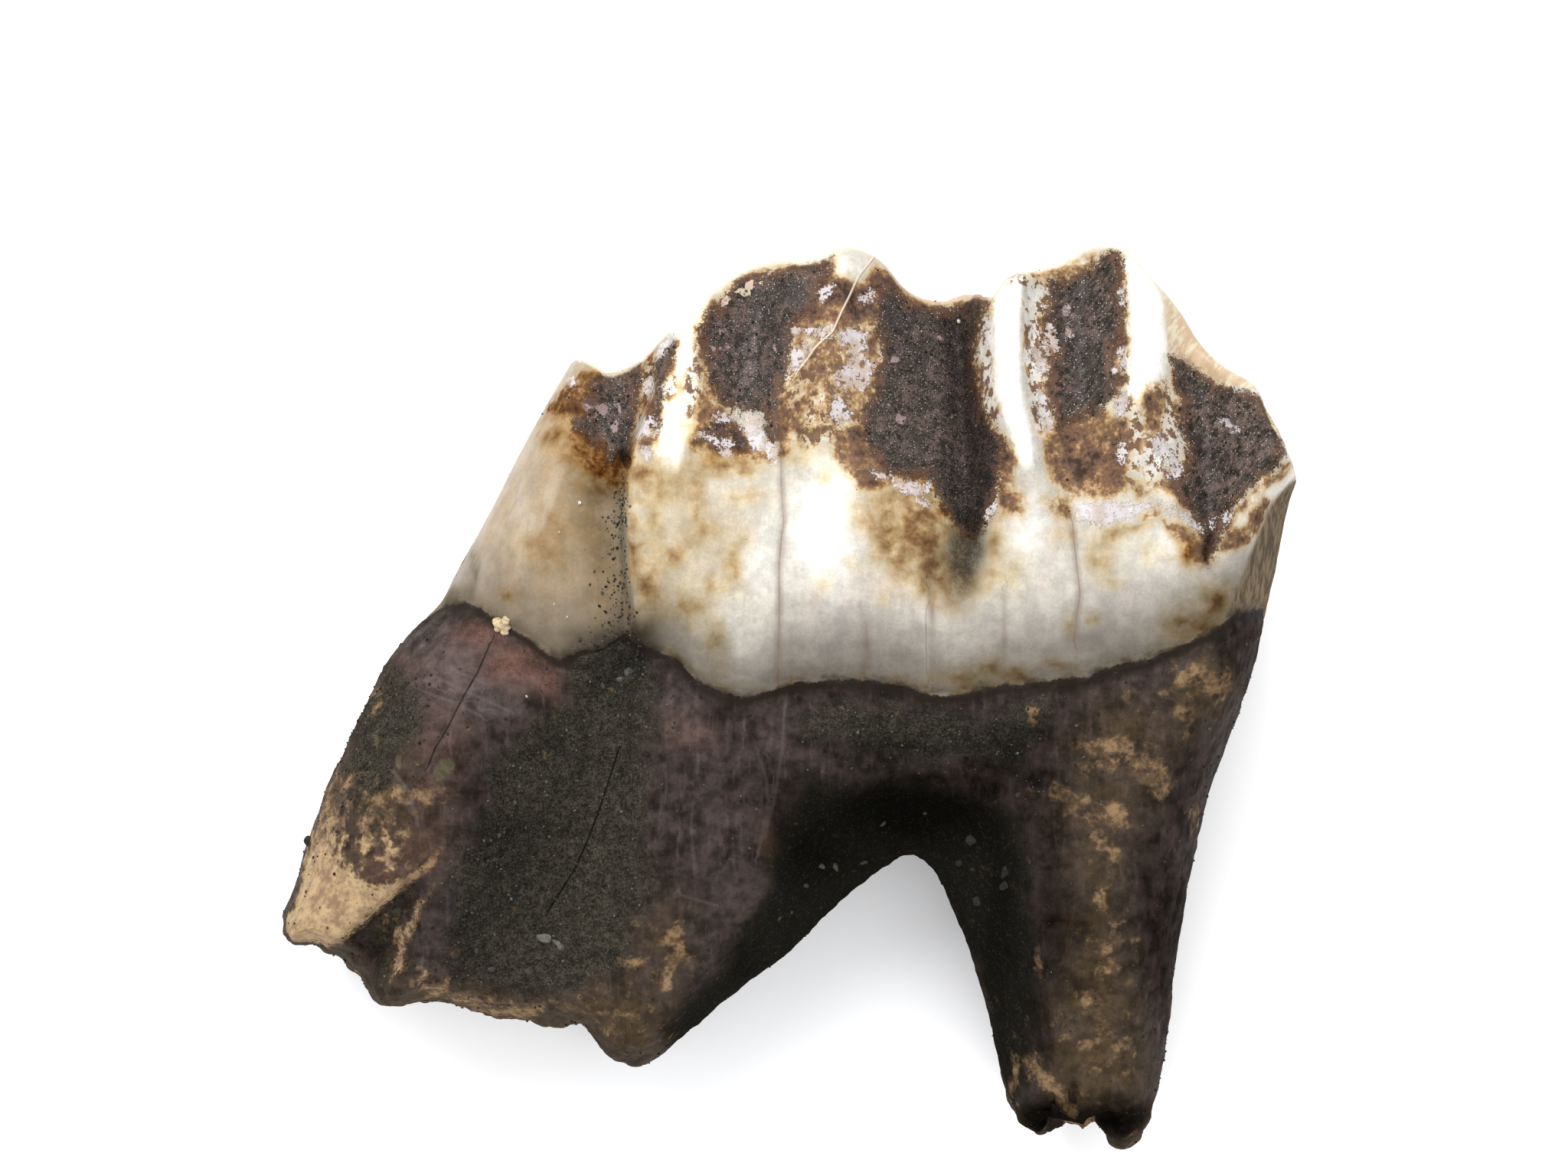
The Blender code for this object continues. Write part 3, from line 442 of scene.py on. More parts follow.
def grain(points, size, seed, octaves=3, stretch=(1, 1, 1)):
    # value noise from -1 to 1: heights at the corners of cells this size, blended by the smooth
    # step, plus finer octaves at half the size and half the height
    total = np.zeros(len(points))
    height, whole = 1, 0
    for octave in range(octaves):
        place = points / (size * np.array(stretch)) * 2 ** octave + 31.7 * octave + 500
        cell = np.floor(place).astype(np.int64)
        wx, wy, wz = smoothStep(place - cell).T
        i, j, k = cell.T
        level = np.zeros(len(points))
        for di, dj, dk in np.ndindex(2, 2, 2):
            weight = (wx if di else 1 - wx) * (wy if dj else 1 - wy) * (wz if dk else 1 - wz)
            level += weight * cellValue(i + di, j + dj, k + dk, seed + 17 * octave)
        total += height * (2 * level - 1)
        whole += height
        height *= 0.5
    return total / whole


def meshPoints(mesh):
    points = np.empty(len(mesh.vertices) * 3, np.float32)
    mesh.vertices.foreach_get("co", points)
    return points.reshape(-1, 3).astype(float)


def meshNormals(mesh):
    normals = np.empty(len(mesh.vertices) * 3, np.float32)
    mesh.vertex_normals.foreach_get("vector", normals)
    return normals.reshape(-1, 3).astype(float)


def setPoints(mesh, points):
    mesh.vertices.foreach_set("co", points.astype(np.float32).ravel())
    mesh.update()


# Markings of the tongue side, as outlines of x,y places. Each edge is roughened where it is used.
crust = {
    "back hollow of the middle lobe": [
        -2.1,8.75, -1.95,9.1, -1.65,9.35, -1.25,9.8, -.75,10.02, -.2,10.08, .3,10.2, .8,10.3, 1,10.42,
        .98,10.05, .75,9.75, .6,9.3, .3,9, .05,8.8, 0,8.3, -.05,7.7, -.2,7.2, -.28,6.6, -.35,6, -.55,6.2,
        -.62,6.75, -1.2,6.8, -1.6,6.95, -1.72,7.3, -1.92,7.6, -1.98,8.1, -2.1,8.4],
    "flake left over the enamel": [
        -2.05,6.45, -1.75,6.6, -1.25,6.5, -1.1,6.4, -1.02,6, -1.1,5.85, -1.35,6.15, -1.7,6.25],
    "main valley": [
        2,9.65, 2.35,9.8, 2.7,9.5, 3,9.25, 3.5,9.2, 4,9.3, 4.4,9.47, 4.66,9.42, 4.5,9.05, 4.38,8.5, 4.3,8,
        4.42,7.5, 4.5,7.1, 4.6,6.6, 4.8,6.3, 5,6.1, 4.95,5.6, 4.88,5.1, 4.78,4.7, 4.65,4.3, 4.5,4, 4.3,3.82,
        4.05,3.9, 3.8,4.25, 3.55,4.6, 3.4,4.9, 3.25,5.2, 2.8,5.25, 2.4,5.3, 2,5.7, 1.75,6.1, 1.62,6.5,
        1.7,6.9, 1.95,7.2, 2,7.7, 2.15,8, 2.1,8.4, 1.98,8.8, 2.05,9.2],
    "back hollow of the front lobe": [
        6.05,9.85, 6.6,9.95, 7.05,10.1, 7.25,10.35, 7.6,10.6, 7.76,10.45, 7.8,10, 7.72,9.6, 7.82,9.2,
        7.8,8.5, 7.6,8.2, 7.55,7.85, 7.75,7.6, 7.6,7.25, 7.35,6.95, 7.15,6.75, 6.6,6.55, 6.2,6.45, 6.1,6.9,
        6,7.4, 6.1,8, 6.25,8.2, 6,8.6, 5.95,9, 6.05,9.4],
    "front hollow of the front lobe": [
        8.9,8.1, 9.3,7.95, 9.6,7.7, 10,7.45, 10.5,7.25, 10.9,7.2, 11.15,6.75, 11.45,6.2, 11.6,5.85,
        11.4,5.45, 11,5.2, 10.7,4.95, 10.4,4.55, 10.2,4.2, 10.05,3.85, 9.9,3.45, 9.72,3.3, 9.62,3.8,
        9.45,4.3, 9.1,4.75, 8.85,5.05, 9.1,5.35, 9.35,5.8, 9.2,6.2, 9.05,6.6, 9.15,7, 8.95,7.5],
    "top of the third lobe": [
        -4.7,7.45, -4.3,7.62, -3.85,7.78, -3.55,7.95, -3.5,7.5, -3.58,7, -3.64,6.4, -3.7,5.9, -3.78,5.45,
        -4,5.75, -4.2,5.6, -4.35,6, -4.75,5.95, -4.7,6.2, -5.1,6.35, -5.05,6.6, -4.7,6.7, -4.95,7.05,
        -4.6,7.2],
    "side of the small style": [
        -2.72,8.5, -2.62,8.3, -2.78,7.9, -2.97,7.5, -3,7, -3.05,6.5, -3.12,6.3, -3.22,6.5, -3.12,7,
        -3.17,7.5, -3.12,7.9, -2.92,8.3],
}

# Brown film beyond the crust: how dense it is, and its outline.
film = {
    "over the middle rib": (0.8, [
        0,8.8, 0,9.5, .6,9.85, 1,10.3, 1.15,9.95, 1.7,9.75, 2,10.2, 2.3,10.1, 2.7,9.6, 2.1,9.4, 2.15,8.8,
        1.5,8.75, 1,8.85, .5,8.9]),
    "rust on the middle rib": (0.38, [
        0,7.8, .35,8.2, .65,8.5, 1,8.55, 1.3,8.2, 1.45,7.95, 1.2,7.65, 1.6,7.25, 1.5,6.8, 1.1,7.15, .95,6.6,
        1.3,6.3, 1.2,5.9, .8,6, .5,5.95, .15,6.05, -.25,5.95, -.2,7]),
    "between the flakes of the middle rib": (0.5, [
        0,7.6, 0,8.8, 1,8.9, 2.1,8.85, 2.2,8, 2.05,7.1, 1.6,6.5, .9,6.5, .5,7.6]),
    "brown line beside the crack": (0.62, [-.35,7.7, -.05,7.6, .05,6.6, 0,5.7, -.3,5.7, -.4,6.6]),
    "foot of the main valley": (0.72, [
        1,6.35, 1.7,6.6, 2.4,5.6, 3,5.4, 3.4,5.1, 2.4,5.12, 2,4.95, 1.7,5, 1.3,5.35, 1,5.8]),
    "under the flake": (0.7, [
        -2.4,5.95, -2.2,6.5, -2.3,7, -1.9,7.1, -1.6,6.9, -1.3,6.5, -.95,6.1, -.6,5.85, -.3,5.6, -.9,5.65,
        -1.6,5.75, -2.1,5.8]),
    "back edge of the back hollow": (0.58, [
        -2.25,8.9, -2.05,9.1, -1.9,8.5, -1.8,7.9, -1.65,7.4, -1.6,7, -1.9,6.95, -2.1,7.3, -2.15,7.9,
        -2.25,8.4]),
    "crest of the back hollow": (0.5, [
        -2,9.2, -1.6,9.5, -1.2,9.95, -.6,10.15, 0,10.25, -.2,10, -.8,9.95, -1.3,9.65, -1.7,9.25]),
    "crest of the main valley": (0.66, [
        2,9.75, 2.4,9.98, 2.8,9.6, 3.1,9.36, 3.6,9.28, 4.2,9.42, 4.1,9.2, 3.5,9.05, 3,9.05, 2.6,9.35,
        2.3,9.55]),
    "crest behind the front lobe": (0.56, [
        5.6,10.05, 6.2,10.15, 6.8,10.38, 7.15,10.5, 7.1,10.15, 6.5,9.9, 6,9.8, 5.7,9.9]),
    "foot of the back hollow of the front lobe": (0.66, [
        5.95,6.4, 6.5,6.7, 7.3,6.8, 7.9,6.6, 8,6, 7.9,5.3, 7.95,4.9, 7.3,4.72, 6.9,4.8, 6.5,4.85, 6.1,5.1,
        5.95,5.8]),
    "dark middle of that foot": (0.86, [6.35,6, 7.1,6.2, 7.4,5.6, 7,5.1, 6.4,5.2]),
    "foot of the back style": (0.66, [4.9,5.2, 5.2,4.9, 5.5,4.8, 5.45,4.42, 5.05,4.4, 4.85,4.7]),
    "behind the back style": (0.7, [4.75,6.4, 5.05,6.1, 5.3,5.7, 5.2,5.1, 4.9,5, 4.85,5.8]),
    "foot of the back style, front": (0.64, [5.9,4.75, 6.3,4.75, 6.6,4.5, 6.5,4.25, 6.15,4.4]),
    "middle rib of the front lobe": (0.62, [
        8.05,6.9, 8.3,7.4, 8.7,7.35, 8.85,6.9, 8.6,6.6, 8.75,6.2, 8.45,6, 8.3,6.4]),
    "small spots on that rib": (0.6, [8,5, 8.6,5.1, 8.5,4.85, 8.1,4.75]),
    "spots under the white line": (0.62, [8.3,4.45, 8.75,4.5, 8.6,4.25, 8.2,4.25]),
    "left foot of the front hollow": (0.78, [
        8.6,5.15, 9,5.5, 9.5,5.9, 9.8,4.4, 9.75,3.6, 9.5,4.2, 9.15,4.6, 8.85,4.85]),
    "under the white line": (0.68, [
        8.75,4.15, 9.1,4.15, 9.5,3.9, 9.75,3.6, 9.85,3.3, 9.6,3.15, 9.3,3.35, 9.15,3.7, 8.85,3.95]),
    "right foot of the front hollow": (0.72, [10,3.6, 10.2,4, 10.7,4.1, 10.8,3.8, 10.5,3.6, 10.1,3.5]),
    "edge of the front hollow": (0.72, [
        10.3,4.4, 10.8,4.95, 11.3,5.3, 11.6,5.65, 11.75,5.6, 11.55,5.25, 11,4.95, 10.6,4.45]),
    "front border": (0.72, [10.7,3.95, 10.75,4.4, 11.05,4.75, 11.3,4.7, 11.2,4.2, 10.95,3.85]),
    "top of the third lobe": (0.72, [
        -5,7.7, -4.3,7.72, -3.6,7.95, -3.7,5.4, -4.1,5.4, -4.4,5.7, -4.9,5.95, -4.95,6.6, -4.9,7.2]),
    "back of that top": (0.62, [
        -5.75,6.85, -5.5,7.15, -5.2,7.45, -4.8,7.6, -4.8,6.2, -5.15,6.2, -5.1,6.6, -5.4,6.65]),
    "fringe under that top": (0.5, [-5.2,6.3, -4.4,6, -3.8,5.5, -3.8,4.9, -4.3,5.1, -4.8,5.4, -5.1,5.8]),
    "small style": (0.64, [-3.5,7, -3.15,7.1, -3.05,6.6, -3.4,6.6]),
    "foot of the small style": (0.62, [-3.6,6.1, -3.2,6.35, -3.15,5.9, -3.5,5.9]),
}

# Strips where the film is broken into flecks over bare enamel.
fleckedStrips = {
    "behind the back style": [
        4.4,9.2, 4.7,9.3, 4.72,8.6, 4.75,7.6, 4.85,6.9, 5.05,6.4, 5.25,6, 4.95,5.9, 4.65,6.4, 4.45,7.2,
        4.35,8],
    "before the back style": [
        5.45,9.6, 5.45,8.4, 5.55,7.4, 5.65,6.6, 5.85,6.2, 6.15,6.4, 6.1,7.4, 6.2,8.2, 6,8.9, 6.1,9.8,
        5.65,9.9],
    "top of the back style": [5,10, 5.5,10.1, 5.9,9.95, 5.6,9.7, 5.1,9.75],
    "behind the middle rib": [
        7.6,9.8, 7.9,9.8, 7.95,8.4, 7.95,7.2, 8.3,6.6, 8.1,5, 7.8,5, 7.6,6.8, 7.65,7.8, 7.75,8.3],
    "before the middle rib": [
        8.35,7.4, 8.8,7.5, 9,7.2, 9.2,6.6, 9.4,6, 9.1,5.2, 8.8,5, 8.3,5, 8.25,5.8, 8.35,6.6],
    "small style": [-3.5,7.9, -3.2,8.2, -3,7.6, -3,6.4, -3.15,5.9, -3.5,5.8, -3.6,6.6, -3.45,7.3],
    "middle rib of the middle lobe": [
        1,9.3, 1.6,9.5, 2.1,9.4, 2.1,8.4, 1.9,7.4, 1.5,6.7, 1,6.9, 1.1,7.8, 1,8.6],
    "back of the middle lobe": [-2.95,7.6, -2.65,7.7, -2.6,7.2, -2.9,6.9],
    "rust on the middle rib": [0,7.8, .35,8.3, 1,8.45, 1.5,7.3, 1.3,6.2, .6,5.9, -.1,6.1, -.2,7],
    "beside the back hollow": [-2.2,8.6, -1.75,8.6, -1.6,7.2, -2.1,7, -2.4,6.3, -2.5,7.4],
}

# Places where crust and film have flaked off down to bright enamel.
flaked = {
    "large flake": [
        -1.85,6.7, -1.6,6.75, -1.2,6.65, -.95,6.75, -.65,6.72, -.6,6.4, -.55,6.1, -.25,5.95, -.28,5.5,
        -.45,5.55, -.6,5.85, -.9,5.9, -1,6.1, -1.1,6.45, -1.25,6.5, -1.6,6.55, -1.8,6.6],
    "flake under it": [
        -2.1,6.35, -1.7,6.22, -1.35,6.12, -1.28,5.98, -1.4,5.9, -1.35,5.7, -1.6,5.7, -1.6,5.95, -1.9,6.1,
        -2.2,6.2],
    "rib, top left": [.62,9.55, .8,9.72, 1.05,9.75, 1.1,9.6, .9,9.55, .85,9.4, .7,9.35],
    "rib, top right": [1.6,9.5, 1.8,9.65, 2,9.6, 2,9.45, 1.75,9.3, 1.5,9.4],
    "rib, left": [0,8.75, .3,8.78, .6,8.72, .95,8.8, 1.02,8.6, .75,8.42, .45,8.48, .35,8.6, .1,8.6],
    "rib, left lower": [.02,8.2, .25,8.32, .55,8.3, .4,8.12, .35,7.95, .2,7.75, .05,7.7, 0,7.9],
    "rib, right": [
        1.05,8.5, 1.3,8.7, 1.55,8.7, 1.8,8.6, 1.8,8.35, 1.75,8.1, 1.95,7.95, 2,7.7, 1.8,7.5, 1.75,7.25,
        1.5,7.4, 1.2,7.3, 1.05,7.45, 1.15,7.7, 1.3,7.9, 1.45,8.05, 1.35,8.3],
    "rib, lower right": [1.1,7.12, 1.25,7.05, 1.5,6.7, 1.4,6.6, 1.15,6.5, .95,6.6, 1,6.9],
    "foot of the main valley": [
        1.75,5.4, 2.1,5.38, 2.4,5.35, 2.6,5.2, 2.9,5.15, 3.25,5.15, 3.28,4.95, 3.15,4.85, 3.35,4.6,
        3.1,4.55, 2.8,4.85, 2.5,5, 2.3,5.15, 2.1,5.25],
    "foot of the main valley, right": [4.55,4.3, 4.7,4.6, 4.9,4.85, 4.9,4.65, 4.75,4.35, 4.65,4.15],
    "behind the back style": [6,8.9, 6.15,8.8, 6.25,8.5, 6.35,8.2, 6.15,8.15, 6,8.45, 5.95,8.7],
    "behind the back style, lower": [5.75,8.35, 5.95,8.1, 6.02,7.8, 6,7.6, 5.85,7.65, 5.75,7.8, 5.6,8.1],
    "behind the back style, foot": [5.8,7.3, 5.98,7.1, 6.05,6.7, 6.2,6.4, 6,6.3, 5.85,6.6, 5.75,7],
    "top of the back hollow": [6.42,9.2, 6.5,9.25, 6.6,9.1, 6.5,9.02],
    "in the back hollow": [6.42,8.75, 6.5,8.78, 6.6,8.55, 6.5,8.45],
    "beside the middle rib": [7.65,9.6, 7.8,9.7, 7.85,9.3, 7.75,9.2, 7.7,9.45],
    "beside the middle rib, lower": [7.6,8.25, 7.8,8.3, 7.85,7.8, 7.6,7.65, 7.5,7.75, 7.75,7.95],
    "low beside the middle rib": [7.55,7, 7.9,7.25, 7.9,6.75, 7.65,6.6],
    "foot beside the middle rib": [7.65,6.05, 7.85,6.1, 7.95,5.75, 7.8,5.6, 7.65,5.75],
    "under the back hollow": [
        6.55,4.45, 6.85,4.65, 7.1,4.6, 7.3,4.7, 7.6,4.7, 7.8,4.6, 8.1,4.62, 8.6,4.72, 8.65,4.62, 8.2,4.4,
        7.9,4.3, 7.6,4.15, 7.2,4.1, 6.9,4.2, 6.65,4.22],
    "white line": [8.7,4.62, 9,4.55, 9.3,4.4, 9.55,4.15, 9.7,3.9, 9.6,3.85, 9.4,4.1, 9.1,4.3, 8.8,4.4],
    "back of the front hollow": [
        8.45,6.2, 8.7,6.35, 8.8,5.9, 8.95,5.95, 9.2,5.5, 9.05,5.25, 8.85,5.2, 8.7,5.35, 8.85,5.6, 8.6,5.65,
        8.5,5.85],
    "speck of the front hollow": [10,6.6, 10.2,6.7, 10.35,6.5, 10.5,6.35, 10.4,6.25, 10.2,6.42],
    "foot of the front hollow": [10.02,4.35, 10.3,4.52, 10.35,4.3, 10.15,4.15],
    "foot of the front hollow, left": [9.8,4.3, 9.95,4.4, 9.95,4.1, 9.85,4],
    "third lobe, edge": [-5.25,7.65, -5.05,7.6, -5.05,7.4, -5.2,7.4],
    "small style, top": [-3.15,8.2, -2.9,8.5, -2.7,8.6, -2.75,8.4, -2.95,8.1, -3.1,8],
    "small style, middle": [-3.4,7.5, -3.2,7.6, -3.15,7.3, -3.3,7.05, -3.45,7.2],
    "small style, lower": [-3.6,6.6, -3.4,6.65, -3.1,6.6, -3.1,6.25, -3.35,6.2, -3.6,6.1],
    "small style, foot": [-3.5,5.95, -3.25,6, -3.2,5.75, -3.35,5.6, -3.5,5.75],
}

# Bright ribs: painted highlight along the rib crests, over enamel rubbed clean: y, x, half width.
brightRibs = {
    "back rib of the middle lobe": [9.3,-2.05,.26, 8.2,-2.38,.3, 7.3,-2.52,.42, 6.4,-2.6,.45, 5.6,-2.9,.3],
    "back style of the front lobe": [
        9.9,5.15,.35, 9,5.05,.36, 8,5.07,.38, 7,5.14,.38, 6.4,5.36,.3, 5.6,5.5,.2],
    "middle rib of the front lobe": [10.4,8.1,.3, 9.2,8.32,.44, 8.2,8.35,.48, 7.5,8.3,.4, 7,8,.15],
}


def insideOutline(x, y, outline, reach=1.2):
    # distance to the outline's nearest side, positive inside and negative outside, and -reach
    # further away than that
    corners = np.reshape(outline, (-1, 2)).astype(float)
    low, high = corners.min(axis=0) - reach, corners.max(axis=0) + reach
    near = (x > low[0]) & (x < high[0]) & (y > low[1]) & (y < high[1])
    px, py = x[near], y[near]
    closed = np.vstack([corners, corners[:1]])
    away = distanceTo(px, py, closed)[0]
    inside = np.zeros(px.shape, bool)
    for (x0, y0), (x1, y1) in zip(closed[:-1], closed[1:]):
        crosses = (y0 > py) != (y1 > py)
        inside ^= crosses & (px < (x1 - x0) * (py - y0) / ((y1 - y0) or 1e-9) + x0)
    found = np.full(x.shape, -reach)
    found[near] = np.maximum(np.where(inside, away, -away), -reach)
    return found


def insideAny(x, y, outlines):
    found = np.full(x.shape, -1.2)
    for outline in outlines.values():
        found = np.maximum(found, insideOutline(x, y, outline))
    return found


def densest(x, y, zones):
    # the strongest of the zones, each rising to its own density across its outline
    found = np.zeros(x.shape)
    for density, outline in zones.values():
        inside = smoothStep((insideOutline(x, y, outline) + 0.17) / 0.36)
        found = np.maximum(found, density * inside)
    return found


def blots(x, y, rows):
    # soft patches: 1 minus the product of 1 - strength * exp(-r^2), r being the elliptic distance
    clear = np.ones(x.shape)
    for centreX, centreY, radiusX, radiusY, strength in np.reshape(rows, (-1, 5)):
        off = ((x - centreX) / radiusX) ** 2 + ((y - centreY) / radiusY) ** 2
        clear = clear * (1 - strength * np.exp(-off))
    return 1 - clear


# Soft colour patches: x, y, radius in x, radius in y, strength.
ochreBlots = [
    -3.35,5.35,.35,.4,.9, -1.6,5.45,.9,.28,.9, -2.15,4.7,.22,.6,.7, -3.2,4.4,.22,.5,.6,
    -2.75,3.35,.35,.3,.8, -1.35,3.2,.2,.45,.85, -1.85,2.7,.22,.2,.8, -2.4,2.2,.4,.4,.65, -1.75,1.5,.3,.6,.5,
    -3.4,2.7,.4,.9,.8, -3.72,3.9,.12,1.2,.8, -1,3.8,.2,.3,.5, -1,4.7,.6,.3,.5, -2.7,5,.5,.4,.5,
    -2,3.9,.5,.4,.5, -4.4,5.3,.7,.55,.85, -4.6,4.2,.5,.9,.4, 3.9,2.6,.6,.5,.6, -5.2,5.9,.5,.5,.5,
    -4.4,2.6,.4,1,.22, -5.6,3.6,.5,1.4,.3, -6.6,4.2,.6,1.6,.22, 2.6,4.65,.7,.5,.95, 3.1,3.95,.55,.7,1,
    2.5,3.6,.45,.5,.9, 3.3,3.2,.4,.5,.95, 3,2.85,.4,.22,1, 3.5,2.5,.5,.3,.6, 3.1,4.1,.8,.9,.9,
    2.1,2.5,.25,.2,.5, 1.9,4.3,.4,.5,.6, .75,5.15,.2,.2,.9, .7,2.7,.2,.3,.5, 1.5,3.2,.2,.2,.5,
    .3,5.7,.4,.2,.6, 4.75,3.7,.24,.6,.6, 4.6,2.8,.35,.2,.7, 5.3,3.2,.3,.6,.35, 7.75,3.95,.35,.15,1,
    7.3,3.4,.35,.5,.7, 7.6,2.8,.25,.2,.5, 9.25,3.5,.24,.28,1, 6.3,3.8,.3,.2,.6, 8.4,3.4,.3,.3,.4,
    7.1,1.9,.15,.2,.6, 6.5,1.85,.14,.35,.6, 9.35,1.85,.6,.4,.8, 10,2.45,.32,.4,1, 3.9,.62,.6,.2,.75,
    4.6,.8,.35,.25,.8, 5.2,.6,.3,.2,.7, 6.2,.8,.4,.15,.6, -5.5,6.2,.35,.2,1, -5.5,6.6,.35,.2,.6,
    -6.7,2.5,.3,.2,.6, -5.8,3.6,.5,.5,.35, -2.7,7.4,.14,.3,.7, -2.45,6.3,.2,.3,.6]
grimeBlots = [
    -3.95,3.6,.18,2.8,.38, -4.45,3.4,.55,2.4,.3, -4.5,1.3,1,.6,.5, -4.8,4.6,.7,1,.22, -5.4,3,.9,1.4,.13,
    -6.2,1.7,.9,.35,.15, -7.5,3,.14,1,.4, -3.3,1.4,.5,.5,.6, 4.15,3.75,.42,.7,.85, 4.1,3.1,.5,.5,.72,
    3.9,2.4,.5,.5,.42, 3.4,3.4,.4,.6,.35, 3.3,2.2,.12,.9,.3, 1.8,1.4,.12,.9,.25, 5,1.5,.1,1,.2,
    9.78,3.45,.14,.35,.9, 10.6,2.1,.35,.3,.7, -7.9,2.5,.35,.25,.45, 6.8,1.4,1.6,.45,.24, 1.6,1.1,1.4,.4,.08,
    -4.25,1.15,.8,.4,.7, -3.4,1.5,.3,.4,.5, -4.35,3.7,.45,1.7,.1, -4.3,5,.5,.4,.25]
warmBlots = [
    -2.9,4.4,.8,1.8,.9, -1.7,3.2,1.2,1.6,.8, -3,2.4,.7,1.2,.8, 2.9,4,.9,1,.8, -1.4,5.6,1,.4,.6,
    4.7,3.3,.5,.8,.6, 9.5,2.3,.9,.8,.7, 7.5,3.8,.7,.4,.6, -2.6,7.2,.5,1.2,.7]
# Painted highlights: light caught on the enamel bulges, ribs and crest, and painted light on slopes that
# face away from the lamps.
highlightBlots = [
    .85,3.8,.65,1,.95, 1,5,.5,.7,.7, 5.6,3.9,.4,.6,.45, -.6,3.2,.35,.9,.4, 7.7,4.4,.7,.2,.4,
    -1.2,1.9,.35,.8,.15, 8.5,3.5,.5,.5,.35, -3.1,6,.4,.5,.5, -6.25,4,.2,.9,.12, -2.6,8,.3,.8,.6,
    1.4,10.2,.4,.25,.35, 5.75,8.4,.25,1.6,.45, 4.62,8,.18,1.5,.4, 8.7,5.9,.4,.9,.35, 1.5,7.9,.5,.9,.3]
# Pinkish spots and cream chips in the crust.
pinkSpots = [
    -1.6,8.65,.1,.09,1, -1.55,8.28,.1,.07,1, -1.85,8.25,.11,.07,1, -.35,8.25,.11,.07,.9, 2.45,8,.16,.08,1,
    2.3,6.95,.13,.06,.8, 2.6,6.6,.13,.13,.95, 3.5,8.5,.09,.07,.8, -4.8,6.9,.12,.11,1, -4.45,6.83,.16,.09,1,
    -4,6.9,.07,.12,.9, -4.55,5.87,.24,.1,1, -4.1,6.4,.09,.15,.9, 6.45,9.15,.11,.15,.9, 6.5,8.65,.09,.17,.9,
    -5,6.8,.08,.06,.9, -4.4,6.9,.8,.9,.32, -1.4,8,.8,1.4,.22, 10.5,6.2,.8,.9,.22, 3,6.6,.9,.8,.12]
creamChips = [
    -1.5,9.4,.13,.13,1, -1.15,9.6,.15,.1,1, -.98,9.62,.1,.18,1, -.7,9.82,.11,.06,1, -.88,9.82,.07,.05,.9]
# Painted shade: places darkened where hardly any light reaches, in the fork, the hollows beside the ribs,
# under the neck and at the broken tips.
deepBlots = [
    3,-2.5,2.5,1.1,1, 5,-1.5,1.2,.9,.8, 5.9,-.7,.9,.5,.5, -8,-2.4,.8,1.2,.25, 7.1,-5,.8,.8,.2,
    -2.3,-2,.8,1.6,.15, 8.85,-4.6,.75,1.9,.42, 9.3,-1.9,.5,1.4,.45, 8.75,-6.6,.4,1.5,.4,
    6.2,-4.7,.5,1.2,.55, 6.1,-2.9,.5,.9,.5, 6.3,-9.95,1.2,.5,1, 7.7,-9.85,.8,.5,.95, -.2,-2.4,.8,1.2,.4,
    2.2,-1,1.5,.5,.65, 4.9,-5,.6,2.6,.6, .4,-3.6,1.1,1,.65, 4.45,5.6,.34,1.8,.65, 4.2,4.2,.25,.5,.8,
    9.8,3.7,.16,.5,.9, -3.85,5.7,.2,.35,.8, 6.7,-6.7,.45,.35,.7, 3.6,7.4,.8,2,.22, 8.4,-3.6,.5,.8,.35,
    -9.6,-5.8,.7,.8,.12, -1.2,-6,.5,.8,.5, -6.9,-3,.9,2.2,.55, -5.9,-.8,.8,.6,.45, -4.8,-1.2,.7,1.3,.3,
    -5.5,-3.6,.9,1.4,.3, -7.6,-5.6,.5,1.2,.4, -1.6,-.1,.9,.3,.5, .2,.25,1,.35,.5, 2,.2,1.2,.35,.45,
    4,0,1.2,.4,.5, -3,.8,.5,.3,.5, 6.6,-1.3,.5,1.6,.35, 5.9,-7.6,.35,1.6,.6, 6,-5,.35,1.5,.5,
    9.4,-.2,.5,.9,.35, 7,-6.3,.8,.5,.2, -9.6,-3.2,.5,.4,.2, 4.12,8,.22,1.6,.6, -2.4,-4.2,1,1.4,.32,
    -.4,-1.6,.8,1,.25, 6.4,-9.85,.9,.38,1, 7.75,-9.75,.8,.42,.9, 8.3,-5.2,.7,1.5,.38, 6.7,-5.4,.7,.6,.45,
    10.2,.7,.5,.7,.5, 10.6,1.5,.5,.5,.6, -6.2,.9,.9,.22,.5, -4.6,.35,.8,.3,.45, 7.5,.35,1.6,.25,.45]
# Painted light: root patches lightened where they face away from the lamps, and a painted sheen along the
# ridge of the back root.
litBlots = [
    -8,.8,.9,.8,.9, -8.9,-.2,.5,.9,.45, -2.4,-.8,.6,1,.32, -2,-2.6,.4,1.2,.12, -.4,-1.6,.4,1.4,.2,
    -7.2,.4,.8,.7,.5, 7.9,.2,1.2,.4,.25, 6.9,-3.9,.5,1.2,.15, 9,.9,.5,.3,.5, -2.6,.2,.4,.5,.6]
oliveBlots = [
    -8.15,-1.65,.24,.24,1, -7.95,-1.45,.16,.14,1, -9.15,-1.4,.09,.2,1, -9.05,-2.05,.13,.12,1,
    -7.2,-2.1,.1,.08,.9, -9.7,-.9,.1,.3,.8, -9.2,-4.95,.14,.12,1, -3.6,-5.2,.2,.14,.8, -6.9,-3.7,.12,.08,.8,
    .8,-3.8,.3,.14,.8, 2.2,-2.9,.2,.1,.7, 4.3,-3.3,.26,.2,.6]
